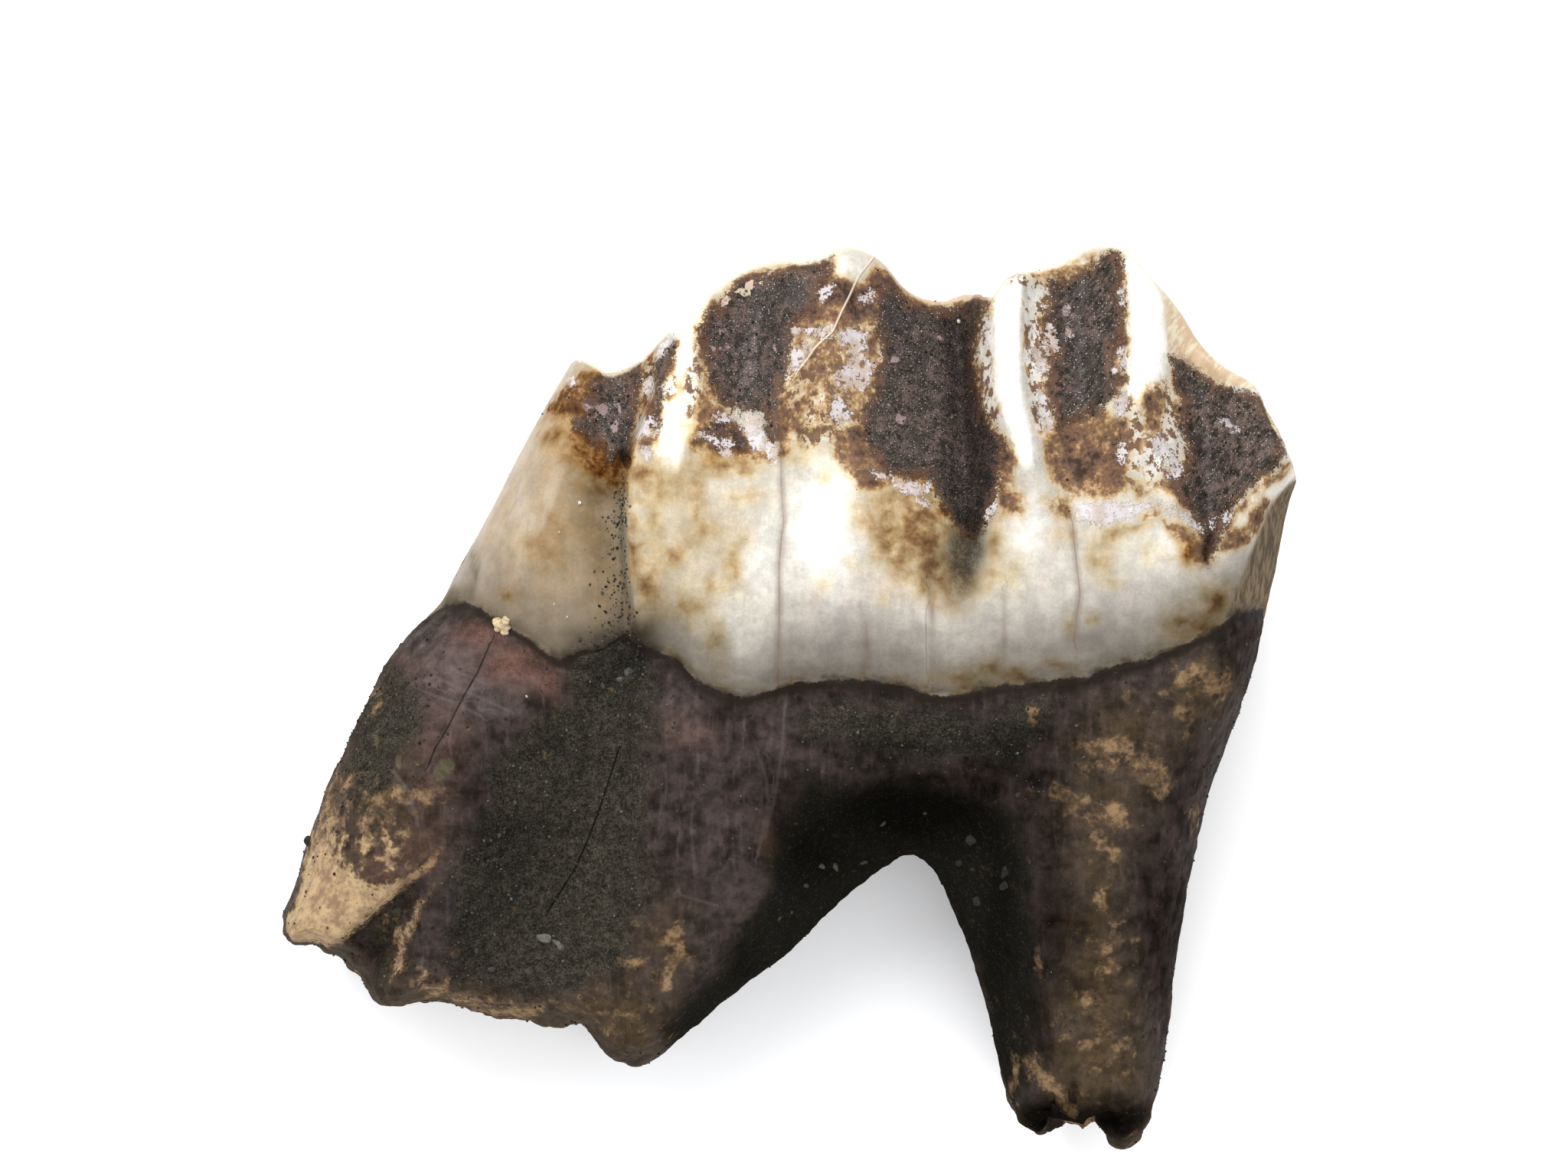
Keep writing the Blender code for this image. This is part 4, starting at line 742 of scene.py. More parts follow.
# The rough strip on the front face and the pale ridge beside it.
frontStrip = {
    "front face": [
        11.95,5.3, 11.6,5.05, 11.3,4.75, 11.08,4.3, 10.83,3.7, 10.6,3.1, 10.38,2.5, 10.2,2, 11.3,1.7,
        12.3,3, 12.3,5],
}
crestBands = {
    "crest before the front lobe": [
        8.6,9.9, 8.75,9.3, 8.85,8.2, 9.2,7.98, 9.6,7.72, 10.2,7.4, 10.9,7.28, 11.1,7.3, 10.4,7.9, 9.8,8.4,
        9.2,9.2],
}
tanClouds = [
    8,-1.35,.9,.4,.7, 8.65,-1.9,.34,.4,1, 7.3,-1.2,.6,.5,.5, 6.2,-2.1,.34,.34,.8, 6.9,-2.35,.34,.28,.8,
    7.5,-2.75,.65,.24,1, 7.5,-3.5,.35,.5,.7, 7.3,-4.7,.25,.4,.9, 7.4,-5.8,.45,.5,.55, 7.2,-7,.8,1.1,.4,
    7.4,-8.5,.9,.8,.44, 9.2,.5,.4,.4,.9, 9.5,.85,.26,.26,1, 10,.35,.3,.34,1, 9.3,-.3,.3,.45,.7,
    6.5,-1.2,.5,.4,.3, 9.5,-2.6,.15,.6,.7, 5.3,-8.9,.15,.8,.7, -9.4,-2.2,.9,.5,.5, -9.8,-3.4,.6,.5,.45,
    -10.9,-2.4,.3,1.4,.65, -8.7,-2.3,.4,.3,.5, -9.9,.5,.4,.8,.35, -11.2,-3.8,.5,1,.8, 7.9,-10.3,.3,.2,.6,
    5.85,-6.2,.12,.6,.6, 8.2,.1,.8,.3,.3, -4.6,-7.3,.8,.5,.4, -3.6,-7.6,.7,.8,.35, -2.9,-6,.35,.8,.5,
    -9.8,-2.9,.6,.7,.3, -10.4,-2,.5,1,.35, -9.9,.2,.3,.6,.3, -9,-3.7,1,.4,.35, -8.4,-6.6,.5,.3,.6,
    -6.6,-7.1,1.2,.2,.6, 5.7,-.3,.22,.2,.8, 6.3,.2,.3,.15,.5, -10.9,-4.3,.8,1.1,.6, -9.2,-5.4,.35,.8,.6]
coolBlots = [
    1,1.2,1.3,.8,.8, 3,1.3,1.2,.8,.6, 7.5,2.3,1.2,.9,.7, 5.8,1.5,1.2,.7,.5, -.55,4.6,.3,1,.5,
    8.6,3,.7,.7,.5, -6.2,3.8,.5,1.2,.5]

# Root markings.
tanPatches = {
    "lower corner": [
        -12.1,-5.25, -11.9,-4.6, -11.65,-3.9, -11.5,-3.2, -11.3,-2.8, -11,-2.9, -10.85,-3.4, -10.5,-3.7,
        -10.25,-4, -9.95,-4.25, -9.8,-4.3, -9.3,-4, -8.75,-3.7, -8.2,-3.35, -8.5,-3.85, -9.3,-4.5,
        -9.8,-4.95, -10,-5.2, -10.4,-5.5, -10.8,-5.85, -11.3,-5.85, -11.8,-5.8],
    "back edge": [-10.35,-1.4, -10.3,-1.8, -10.5,-2.1, -10.8,-2.75, -11.15,-2.6, -10.8,-1.9],
    "speck near the back edge": [-10.25,-1.6, -10.13,-1.6, -10.13,-2, -10.3,-2.05],
    "under the neck": [-9.75,.9, -9.3,.78, -9.4,.48, -9.7,.5],
    "back edge, upper": [-10.05,0, -9.88,0, -9.88,-.2, -10,-.25],
    "back face": [-9.65,-2.3, -9.5,-2.25, -9.45,-2.4, -9.6,-2.45],
    "scratch": [-8.9,-2.18, -8.5,-2.38, -8.52,-2.46, -8.92,-2.3],
    "back face, middle": [-9.35,-2.88, -8.9,-2.84, -8.9,-2.98, -9.3,-3.02],
    "back face, spots": [-9.7,-2.8, -9.45,-2.85, -9.4,-3.2, -9.6,-3.35, -9.72,-3.1],
    "back face, low": [-10.25,-3.4, -9.95,-3.38, -9.95,-3.52, -10.2,-3.55],
    "rim of the notch": [
        -8.2,-4.2, -8.4,-4.6, -8.68,-5.1, -8.92,-5.5, -9.05,-6.1, -9.1,-6.4, -9.38,-6.55, -9.25,-5.9,
        -9.15,-5.4, -8.8,-4.95, -8.4,-4.4],
    "low edge": [-8.7,-6.55, -8.35,-6.6, -8.05,-6.35, -8.1,-6.8, -8.6,-6.85],
    "broken edge": [
        -8.15,-6.9, -7.6,-7, -7,-7.2, -6.4,-7.22, -5.7,-7, -5.7,-7.35, -6.4,-7.62, -7.2,-7.5, -8.1,-7.15],
    "tongue of the low end": [
        -2.75,-5.5, -2.5,-5.3, -2.6,-5.6, -2.45,-5.9, -2.65,-6.25, -2.9,-6.7, -3.2,-6.6, -2.95,-6.35,
        -2.72,-5.95, -2.85,-5.7],
    "low end, spot": [-3.9,-6.05, -3.5,-6, -3.4,-6.2, -3.8,-6.3],
    "front root, stroke": [9.65,.98, 9.5,1.02, 9.1,.4, 9.2,.38, 9.6,.85],
    "rim of the tip": [
        5.5,-8.5, 5.72,-9, 6,-9.22, 6.55,-9.62, 6.8,-9.78, 6.85,-9.6, 6.3,-9.08, 5.92,-8.75, 5.65,-8.4],
}
brownBlots = [
    -4.3,-7.5,1.5,.9,.8, -3.4,-8,.9,.7,.6, 7.2,-7.2,.9,2,.95, 7.3,-8.7,1.1,.8,.95, 6.6,-9,.4,.5,.7,
    8,-.8,1.4,.9,.6, 7.3,-2.6,1.2,1.4,.65, 7,-4.6,.6,1.3,.55, 9.7,.4,.7,.9,.6, -9.7,-1.8,.8,1.6,.65,
    -8.8,-3.2,.8,.6,.4, -3,-5.6,.8,1.2,.5, -11,-4.6,.8,1.2,.6, -7.6,-6.9,1.6,.35,.7, -9.6,-6.3,.8,.8,.5,
    -.4,-3.6,.25,.7,.6]
rustBlots = [
    -6.4,.9,.8,.45,1, -7.2,1.6,.6,.3,.7, -5.7,.4,.5,.3,.6, -9.2,.9,.5,.4,.3, -2.4,-.6,.6,.5,.25,
    -8.2,-1,.8,1.4,.3, -8.7,-3.3,.6,.6,.45, -9.6,-3.9,.5,.3,.5, -.5,-3.3,.15,.6,.5]
sandZones = {
    "hollow between the halves of the back root": [
        -5.6,.8, -4.8,1.8, -3.7,2.1, -3,1.4, -2.8,.4, -3.2,-1, -3.3,-2.5, -3.2,-4.5, -3.6,-6.3, -5.5,-6.9,
        -7.5,-6.8, -8.2,-6.3, -8.2,-5.2, -8,-3.8, -7.5,-2.6, -7,-1.2, -6,-.4, -5.4,0],
    "back face of the back root": [
        -9.4,1, -8.8,.9, -8.6,.2, -8.5,-.6, -9,-1, -9.2,-2, -9.9,-2.6, -10.6,-2.5, -10.6,-1.2, -10,-.2],
    "under the neck": [0,0, 4.5,-.1, 6,.2, 5.9,-2.4, 4.5,-1.6, 1.5,-1.2, -.5,-.4],
    "notch": [-8.5,-4, -9.6,-4.9, -10.4,-5.7, -9.9,-6.4, -9.4,-6.8, -9.3,-6, -9,-5.3, -8.6,-4.6],
    "groove behind the middle lobe": [
        -3.6,5.6, -3.62,4.9, -3.7,4, -3.68,3.2, -3.55,2.4, -3.2,1.8, -2.9,1.2, -4.6,.6, -5.3,.9, -4.9,1.7,
        -4.6,2.4, -4.6,3.4, -4.4,4.6, -4.2,5.6],
}

# Sand heaped over the neck: x, y, radius in x, radius in y, strength.
sandPiles = [(-4.25, 1, 0.8, 0.5, 1), (-3.75, 1.4, 0.35, 0.5, 0.5)]
# Painted shade: faces inside the fork and in the broken tip of the front root, coloured near black where
# little light reaches.
shadedFaces = {
    "inside of the fork": [
        .3,-1.9, -.4,-3.2, -.6,-4.3, -1.2,-5.3, -2.2,-6.5, -3,-7.7, -2.7,-8.4, 0,-6.5, 1.6,-5, 2.8,-4.2,
        3.4,-4.8, 4,-6, 4.8,-9, 5.3,-9.8, 5.75,-8.5, 5.85,-6, 5.65,-3.6, 5.3,-2.6, 4.5,-2.1, 3,-2, 1.5,-1.9,
    ],
    "broken tip of the front root": [
        5.3,-9.4, 6,-9.6, 6.6,-9.9, 7.2,-9.7, 7.6,-9.75, 8.1,-9.85, 7.7,-10.2, 7.3,-10.1, 6.9,-10.4,
        6,-10.5, 5.4,-10],
}

# Hollows too small to be drawn as ribs: x, y, radius in x, radius in y, depth.
gouges = [
    6.02,-9.7,.4,.42,.6, 6.7,-9.3,.11,.34,.3, 7.65,-9.85,.55,.16,.4, -3.88,5.62,.13,.2,.25,
    -8.9,-5.9,.5,.35,.25, -9.9,-5.7,.35,.3,.25, -2.95,-6.1,.25,.5,.15, -4.4,-7.6,.5,.3,.2,
    7.3,-6.6,.3,.6,.12, -6.4,-6.9,.6,.2,.2]
# Cracks: points of each line.
cracks = {
    "middle lobe": [-.2,6.9, -.22,6, -.2,4.9, -.14,4.2, -.2,3.8, -.25,3.2, -.24,2.2, -.26,1.2, -.28,.45],
    "front lobe": [6.5,4.45, 6.6,4.2, 6.65,3.6, 6.72,3, 6.78,2.5, 6.7,2, 6.65,1.5],
    "back root, upper": [-7,1.4, -7.3,.7, -7.7,0, -8,-.6, -8.3,-1.1, -8.45,-1.5],
    "back root, hollow": [-4,-1.1, -4.25,-1.9, -4.45,-2.5, -4.75,-3.3, -5.05,-3.95, -5.4,-4.5, -5.65,-4.9],
}
fineCracks = {
    "front lobe": [5,2.6, 5.02,1.6, 5,.5],
    "main valley": [3.25,2.9, 3.35,1.8, 3.3,.5],
    "middle lobe": [1.7,2.1, 1.78,1.2, 1.72,.5],
}

# A healed line that stands up a little, pale with a dark thread beside it.
seams = {
    "over the middle rib": [1.95,10.4, 1.6,9.95, 1.4,9.5, 1.2,9.1, 1,8.65, .6,8.3, .4,8, .2,7.75],
}
scratches = {
    "back root": [-8.4,.62, -7.5,.2, -6.6,-.2],
    "back root, second": [-8.6,.25, -7.8,-.05, -7.2,-.35],
    "back root, third": [(-7.9, 0.75), (-7.2, 0.45)],
    "front swelling": [-.75,-1.2, -.55,-1.8, -.5,-2.5, -.65,-3.1, -.75,-3.6],
    "front swelling, upper": [-.12,-.1, -.16,-1, -.36,-2.3, -.6,-3.2],
    "front swelling, low": [(-2.5, -4.55), (-1.8, -4.75)],
    "back root, low": [-9.3,-1.6, -8.9,-2.1, -8.7,-2.9],
}


def signedLine(x, y, lines):
    # distance to the nearest line, negative on its right, so that it passes evenly through 0
    found = np.full(x.shape, 9.0)
    for points in lines.values():
        corners = np.reshape(points, (-1, 2))
        away, stretch, _ = distanceTo(x, y, corners)
        start, run = corners[stretch], np.diff(corners, axis=0)[stretch]
        side = (y - start[:, 1]) * run[:, 0] - (x - start[:, 0]) * run[:, 1]
        found = np.where(away < np.abs(found), np.where(side < 0, -away, away), found)
    return found


def ribMask(x, y, ribs):
    # 1 on a rib's line, falling smoothly to 0 at its half width
    mask = np.zeros(x.shape)
    for rows in ribs.values():
        ys, xs, widths = np.reshape(rows, (-1, 3))[::-1].T
        off = np.abs(x - np.interp(y, ys, xs)) / np.interp(y, ys, widths)
        ends = smoothStep((y - ys[0]) / 0.5 + 0.5) * smoothStep((ys[-1] - y) / 0.5 + 0.5)
        mask = np.maximum(mask, (1 - smoothStep((off - 0.5) / 0.7)) * ends)
    return mask


def chewingPlace(x, y, z):
    # share of the way from the tongue rim to the cheek rim, distance to the nearer rim, and depth
    # under the straight line between the rims
    places = np.linspace(-5.09, 11.89, 500)  # the length of the crest
    high, low = crestHeight(places), cheekEdge(places)
    tongueZ = tongueSide(places, high) - toothForm["crestRadius"]
    cheekZ = cheekSide(places, low)
    start = np.interp(x, places, tongueZ)
    width = np.maximum(start - np.interp(x, places, cheekZ), 0.05)
    across = (start - z) / width
    straight = np.interp(x, places, high) + np.interp(x, places, low - high) * across
    inLength = (x > -5) & (x < 11.85)
    across = np.where(inLength, across, -1)
    return across, np.minimum(across, 1 - across) * width, straight - y


def toothFields(points):
    # every marking at each point: distances in millimetres, positive inside, or shares from 0 to 1
    x, y, z = points.T
    place = points * (1, 1, 0.4)
    tongueHalf = z > middleLevel(y)
    coarse, fine = grain(place, 0.55, 11, 2), grain(place, 0.24, 23, 3)
    other, soft = grain(place, 0.3, 37, 3), grain(place, 1.6, 41, 3)
    ragged = 0.055 * coarse + 0.055 * fine
    lower = heightAlong(x, smoothCurve(toothForm["lowerSide"]))
    bow = cheekBow(x, y)[0]

    up = z - middleLevel(y)
    turned = smoothStep((up + 0.45 * soft + 0.3 * coarse) / 1.2 + 0.5)
    bentX = x + 0.3 * grain(place, 0.75, 101, 3)
    bentY = y + 0.3 * grain(place, 0.75, 103, 3)

    def sides(tongueValue, cheekValue):
        # the tongue side's value above, passing into the cheek side's value below
        return cheekValue + (tongueValue - cheekValue) * turned

    neck = overNeck(x, y) + toothForm["neckDrop"] * smoothStep(0.5 - up / 1.8)
    neck = neck + 0.07 * coarse + 0.06 * fine
    neck = neck - 1.15 * blots(bentX, bentY, sandPiles) * (1 + 0.6 * other) * turned
    crown = smoothStep(neck / 0.3)
    behindStep = smoothStep((along(y, toothForm["lobeStepLine"]) - x) / 0.3)

    crustIn = insideAny(x, y, crust)
    halo = 0.8 * smoothStep((crustIn + 0.16 + 0.34 * other) / 0.36) * (1 - 0.3 * behindStep)
    filmOver = np.maximum(densest(x, y, film), halo)
    border = smoothStep((0.3 + 0.55 * other - neck) / 0.5) * (1 - behindStep)
    border = border * (0.45 + 0.55 * smoothStep((x - 2.8) / 0.8) * smoothStep((6.8 - x) / 0.8))
    flakedIn = insideAny(x, y, flaked) + 0.03 * fine
    across, fromRim, under = chewingPlace(x, y, z)
    reachDown = 0.15 + 3.25 * smoothStep((11.75 - x) / 1.1) * smoothStep((x + 5.2) / 0.7)
    chewing = (across > 0) & (across < 1) & (under < reachDown) & (under > -0.6)
    front = smoothStep((insideAny(x, y, frontStrip) + 0.05 * coarse) / 0.16 + 0.5)
    front = sides(front, smoothStep((x - 10.4) / 0.5))
    front = front * ~chewing * (x > 9.8) * crown
    valley = (bow - 0.5) * 1.5 * smoothStep((y - 1.5) / 2.5) + 0.3 * soft + 0.12 * coarse
    cheekCrust = np.where(neck > 0.1, valley - 0.16, -1.2)
    crustIn = sides(crustIn + ragged, np.maximum(cheekCrust + ragged, -1.2))
    crustIn = crustIn - 1.2 * front
    cheekFilm = 0.75 * smoothStep((cheekCrust + 0.36 + ragged + 0.2 * other) / 0.36)
    filmOver = sides(filmOver, cheekFilm) * (1 - front)
    flakedIn = sides(flakedIn, 0.55 * other - 0.3)
    pit = np.where(chewing, 1.1 * (under - 0.75), -1.2)
    crustIn = np.where(chewing, np.minimum(np.maximum(pit + 0.3 * coarse, -1.2), 0.5), crustIn)
    filmOver = np.where(chewing, 0.75 * smoothStep((crustIn + 0.3) / 0.3), filmOver)
    flakedIn = np.where(chewing, -1.2, flakedIn)
    dentine = np.where(chewing, fromRim - 0.42 + 0.1 * coarse, -1.2)

    # chipped dentine: the outlines fade down the sides, where patches of noise take over
    down = smoothStep((along(y, toothForm["tongueLevel"]) - z - 1.6 + 0.5 * coarse) / 1.4)
    atBackEnd = smoothStep((-2.5 - x + 0.6 * coarse) / 1.2)
    atFrontEnd = smoothStep((x - 4.7) / 0.6) * smoothStep((9 - x) / 0.6)
    broken = lower + 0.3 - y + 0.15 * coarse - 1.2 * (1 - np.maximum(atBackEnd, atFrontEnd))
    atBreak = smoothStep(broken / 0.25 + 0.5)
    sideTan = 0.85 * grain(points, 1, 53, 4) - 0.3 + 0.26 * atBreak
    tanIn = insideAny(bentX, bentY, tanPatches) + 0.06 * fine + 0.04 * coarse
    tanIn = sideTan + (tanIn - sideTan) * turned * (1 - down)
    tanIn = np.where(neck > -0.02, -1.2, np.maximum(tanIn, -1.2))
    brown = sides(blots(bentX, bentY, brownBlots), smoothStep(0.5 + 0.9 * soft))
    brown = np.maximum(brown, 0.8 * smoothStep((broken + 0.5) / 0.9))
    rust = sides(blots(bentX, bentY, rustBlots), smoothStep(0.2 + 1.2 * other))
    # painted shade on the inner faces of the fork and the broken tip
    inner = smoothStep((insideAny(x, y, shadedFaces) + 0.42 + 0.32 * soft + 0.15 * coarse) / 0.9)
    inner = inner * smoothStep((neck + 0.5) / -0.8) * (0.8 + 0.2 * turned)
    sand = smoothStep((insideAny(x, y, sandZones) + 0.48 + 0.38 * soft + 0.3 * coarse) / 1.35)
    sand = sides(sand, smoothStep(0.15 + 1.2 * soft) * (1 - 0.7 * crown))

    flecks = smoothStep((insideAny(x, y, fleckedStrips) + 0.1) / 0.2) * tongueHalf * ~chewing
    # painted shade where little light reaches, on the tongue side
    deep = blots(bentX, bentY, deepBlots) * turned
    pink = blots(x, y, pinkSpots) * tongueHalf
    olive = blots(x, y, oliveBlots) * tongueHalf
    chips = blots(x, y, creamChips) * tongueHalf
    ochre = sides(blots(bentX, bentY, ochreBlots), smoothStep(1.5 * other - 0.25))
    ochre = np.maximum(ochre, 0.8 * border)
    grime = sides(blots(bentX, y, grimeBlots), 0.7 * smoothStep(1.3 * soft + 0.1))
    cool = sides(blots(bentX, bentY, coolBlots), 0.4)
    # bright: painted highlight on the ribs, over enamel rubbed clean, and painted light from the highlight
    # blots
    bright = np.maximum(ribMask(x, y, brightRibs), blots(bentX, bentY, highlightBlots))
    bright = bright * turned * ~chewing
    warm = sides(blots(bentX, bentY, warmBlots), smoothStep(0.3 + 1.4 * other))
    beige = behindStep * (0.4 + 0.6 * turned)
    underCrest = np.where((x > -5) & tongueHalf, crestHeight(x) - y, 9)
    rim = np.maximum(0.09 - underCrest + 0.05 * fine, insideAny(x, y, crestBands) * tongueHalf)
    rim = np.where(chewing, 0.3 - fromRim + 0.05 * fine, np.where(tongueHalf, rim, -1.2))
    tanRim = smoothStep((x - 1.6) / 0.6) * (1 - smoothStep((x - 4.5) / 0.4))
    tanRim = np.maximum(tanRim, smoothStep((x - 8.6) / 0.3))
    lines = {"crack": cracks, "fineCrack": fineCracks, "seam": seams, "scratch": scratches}
    lines = {name: np.clip(np.where(tongueHalf, signedLine(x, y, rows), 1), -1, 1)
             for name, rows in lines.items()}
    nearLine = np.min([np.abs(away) for away in lines.values()], axis=0)
    return dict(
        neck=neck, crust=crustIn, film=filmOver, flaked=flakedIn, dentine=dentine,
        flecks=flecks, deep=deep, pink=pink, chips=chips, front=front,
        # painted light on root patches of the tongue side, and a little over all of the cheek side
        olive=olive, lit=sides(blots(bentX, bentY, litBlots), 0.3),
        tan=tanIn, brown=brown, rust=rust, inner=inner, sand=sand,
        ochre=ochre, grime=grime, cool=cool, bright=bright, rim=rim,
        warm=warm, beige=beige, tanCloud=blots(bentX, bentY, tanClouds) * turned,
        tanRim=tanRim, broken=broken, nearLine=nearLine, **lines
    )


relief3d = {
    "enamelWaves": 0.022,
    "enamelRipples": 0.01,
    "crustThickness": 0.055,
    "crustRoughness": 0.035,
    "filmThickness": 0.014,
    "neckGroove": 0.05,
    "rootWaves": 0.055,
    "rootRoughness": 0.028,
    "rootFurrows": 0.035,
    "chipDepth": 0.06,
    "brokenRoughness": 0.13,
    "crackDepth": 0.06,
    "frontRidges": 0.035,
}


def surfaceHeight(points, fields):
    # height of the fine relief over the smooth form: each kind of surface has its own noise, with
    # steps where crust and film begin and grooves along the neck and the cracks
    amounts = relief3d
    x, y, z = points.T
    enamel = smoothStep(fields["neck"] / 0.12 + 0.5)
    root = 1 - enamel
    crusted = smoothStep(fields["crust"] / 0.14 + 0.3) * enamel
    filmed = smoothStep((fields["film"] - 0.35) / 0.25) * enamel
    flakes = smoothStep(fields["flaked"] / 0.08 + 0.5) * enamel
    height = enamel * amounts["enamelWaves"] * grain(points, 1.2, 61, 2)
    height += enamel * (1 - crusted) * amounts["enamelRipples"] * grain(points, 0.32, 67, 2)
    height += filmed * (1 - flakes) * amounts["filmThickness"]
    height += crusted * (1 - flakes) * amounts["crustThickness"]
    height += crusted * amounts["crustRoughness"] * grain(points, 0.22, 71, 2)
    height -= amounts["neckGroove"] * np.exp(-((fields["neck"] + 0.05) / 0.15) ** 2)
    height += root * amounts["rootWaves"] * grain(points, 0.9, 73, 2)
    height += root * amounts["rootRoughness"] * (1 + fields["sand"]) * grain(points, 0.2, 79, 2)
    height += root * amounts["rootFurrows"] * grain(points, 0.26, 83, 2, (1, 6, 1))
    height -= root * amounts["chipDepth"] * smoothStep(fields["tan"] / 0.12 + 0.5)
    atBreak = root * smoothStep((fields["broken"] + 0.5) / 0.6)
    height += atBreak * amounts["brokenRoughness"] * grain(points, 0.45, 89, 3)
    height += amounts["frontRidges"] * fields["front"] * grain(points, 0.16, 97, 2, (1, 9, 1))
    for line, share in (("crack", 0.7), ("fineCrack", 0.3), ("scratch", 0.25), ("seam", -0.3)):
        height -= share * amounts["crackDepth"] * np.exp(-(fields[line] / 0.055) ** 2)
    for centreX, centreY, radiusX, radiusY, depth in np.reshape(gouges, (-1, 5)):
        off = ((x - centreX) / radiusX) ** 2 + ((y - centreY) / radiusY) ** 2
        height -= depth * np.exp(-off ** 2) * smoothStep((z - middleLevel(y)) / 0.6 - 1)
    return height


def evaluatedMesh(obj):
    bpy.context.view_layer.update()
    graph = bpy.context.evaluated_depsgraph_get()
    return bpy.data.meshes.new_from_object(obj.evaluated_get(graph))


def addObject(name, mesh):
    obj = bpy.data.objects.new(name, mesh)
    bpy.context.scene.collection.objects.link(obj)
    return obj


def ridesWithTooth(obj, material):
    obj.data.materials.clear()
    obj.data.materials.append(material)
    obj.data.shade_smooth()
    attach(obj, "root")


def addSkin():
    # the loft in even voxels, pushed along its normals by the fine relief, thinned and cut level with the
    # ground
    obj = addObject("toothSkin", closedLoft(sectionGrid(), "toothLoft"))
    remesh = obj.modifiers.new("evenFaces", "REMESH")
    remesh.mode = "VOXEL"
    remesh.voxel_size = skinMesh["voxel"]
    soften = obj.modifiers.new("softenSteps", "SMOOTH")
    soften.factor = 0.5
    soften.iterations = 2
    obj.data = evaluatedMesh(obj)
    obj.modifiers.clear()
    points = meshPoints(obj.data)
    height = surfaceHeight(points, toothFields(points))
    points = points + meshNormals(obj.data) * height[:, None]
    points[:, 2] = np.maximum(points[:, 2], 0)
    setPoints(obj.data, points)
    thin = obj.modifiers.new("thinOut", "DECIMATE")
    thin.ratio = min(1, skinMesh["triangles"] / (2 * len(obj.data.polygons)))
    thin.use_collapse_triangulate = True
    obj.data = evaluatedMesh(obj)
    obj.modifiers.clear()
    obj.data.name = "toothSkin"
    return obj


def addAttributes(mesh, values):
    for name, level in values.items():
        layer = mesh.attributes.new(name, "FLOAT", "POINT")
        layer.data.foreach_set("value", level.astype(np.float32))


class Wire:
    # an output socket of a shader node that is added, taken away and multiplied like a number
    def __init__(self, socket):
        self.socket = socket

    def __add__(self, other):
        return calculate("ADD", self, other)

    def __sub__(self, other):
        return calculate("SUBTRACT", self, other)

    def __rsub__(self, other):
        return calculate("SUBTRACT", other, self)

    def __mul__(self, other):
        return calculate("MULTIPLY", self, other)

    def __pow__(self, other):
        return calculate("POWER", self, other)

    __radd__ = __add__


def setInputs(node, values):
    for key, value in values.items():
        if isinstance(value, Wire):
            node.id_data.links.new(value.socket, node.inputs[key])
        else:
            node.inputs[key].default_value = value


def addNode(tree, kind, values=None, **settings):
    # a node with these settings and inputs, as its outputs by number and by name
    node = tree.nodes.new(kind)
    for name, value in settings.items():
        setattr(node, name, value)
    setInputs(node, values or {})
    wires = {number: Wire(socket) for number, socket in enumerate(node.outputs)}
    return wires | {wire.socket.name: wire for wire in wires.values()}


def joined(kind, values, **settings):
    # a node in the tree of the first wire among its values
    first = next(value for value in values.values() if isinstance(value, Wire))
    return addNode(first.socket.id_data, kind, values, **settings)


def calculate(operation, first, second=0, clamp=False):
    values = {0: first, 1: second}
    return joined("ShaderNodeMath", values, operation=operation, use_clamp=clamp)[0]


def larger(first, second):
    return calculate("MAXIMUM", first, second)


def clampedProduct(first, second):
    return calculate("MULTIPLY", first, second, True)


def clampedSum(first, second):
    return calculate("ADD", first, second, True)


def blend(share, first, second, how="MIX"):
    values = {0: share, 6: first, 7: second}
    return joined("ShaderNodeMix", values, data_type="RGBA", blend_type=how)[2]


def blendValues(share, first, second):
    return joined("ShaderNodeMix", {0: share, 2: first, 3: second})[0]


def step(value, low, high, start=0, end=1):
    # a smooth step from start at low to end at high
    values = {"Value": value, "From Min": low, "From Max": high, "To Min": start, "To Max": end}
    return joined("ShaderNodeMapRange", values, interpolation_type="SMOOTHSTEP")[0]


def noise(place, scale, detail=2, roughness=0.55):
    values = {"Vector": place, "Scale": scale, "Detail": detail, "Roughness": roughness}
    return joined("ShaderNodeTexNoise", values)[0]


def stretched(place, scale, turn=0):
    # a place scaled along axes that are turned about z
    sizes = tuple(1 / value for value in scale)
    values = {"Vector": place, "Scale": sizes, "Rotation": (0.0, 0.0, math.radians(turn))}
    return joined("ShaderNodeMapping", values, vector_type="TEXTURE")[0]


def tones(value, stops):
    color = joined("ShaderNodeValToRGB", {0: value})[0]
    elements = color.socket.node.color_ramp.elements
    while len(elements) < len(stops):
        elements.new(0.5)
    for element, (position, tone) in zip(elements, stops):
        element.position = position
        element.color = tone
    return color


def shaded(color, value):
    grey = joined("ShaderNodeCombineColor", {0: value, 1: value, 2: value})[0]
    return blend(1, color, grey, "MULTIPLY")


def field(tree, name):
    return addNode(tree, "ShaderNodeAttribute", attribute_name=name)["Fac"]


def startGroup(name, inputs, outputs):
    # a group with a place and these values as inputs; Color and Tint are its colours
    tree = bpy.data.node_groups.new(name, "ShaderNodeTree")
    tree.interface.new_socket("Place", in_out="INPUT", socket_type="NodeSocketVector")
    for socket, value in inputs.items():
        made = tree.interface.new_socket(socket, in_out="INPUT", socket_type="NodeSocketFloat")
        made.default_value = value
    for socket in outputs:
        kind = "NodeSocketColor" if socket in ("Color", "Tint") else "NodeSocketFloat"
        tree.interface.new_socket(socket, in_out="OUTPUT", socket_type=kind)
    return tree, addNode(tree, "NodeGroupInput")


def endGroup(tree, results):
    setInputs(tree.nodes.new("NodeGroupOutput"), results)
    return tree


def useGroup(group, values):
    return joined("ShaderNodeGroup", values, node_tree=group)


surfaceOutputs = ["Color", "Roughness", "Height"]


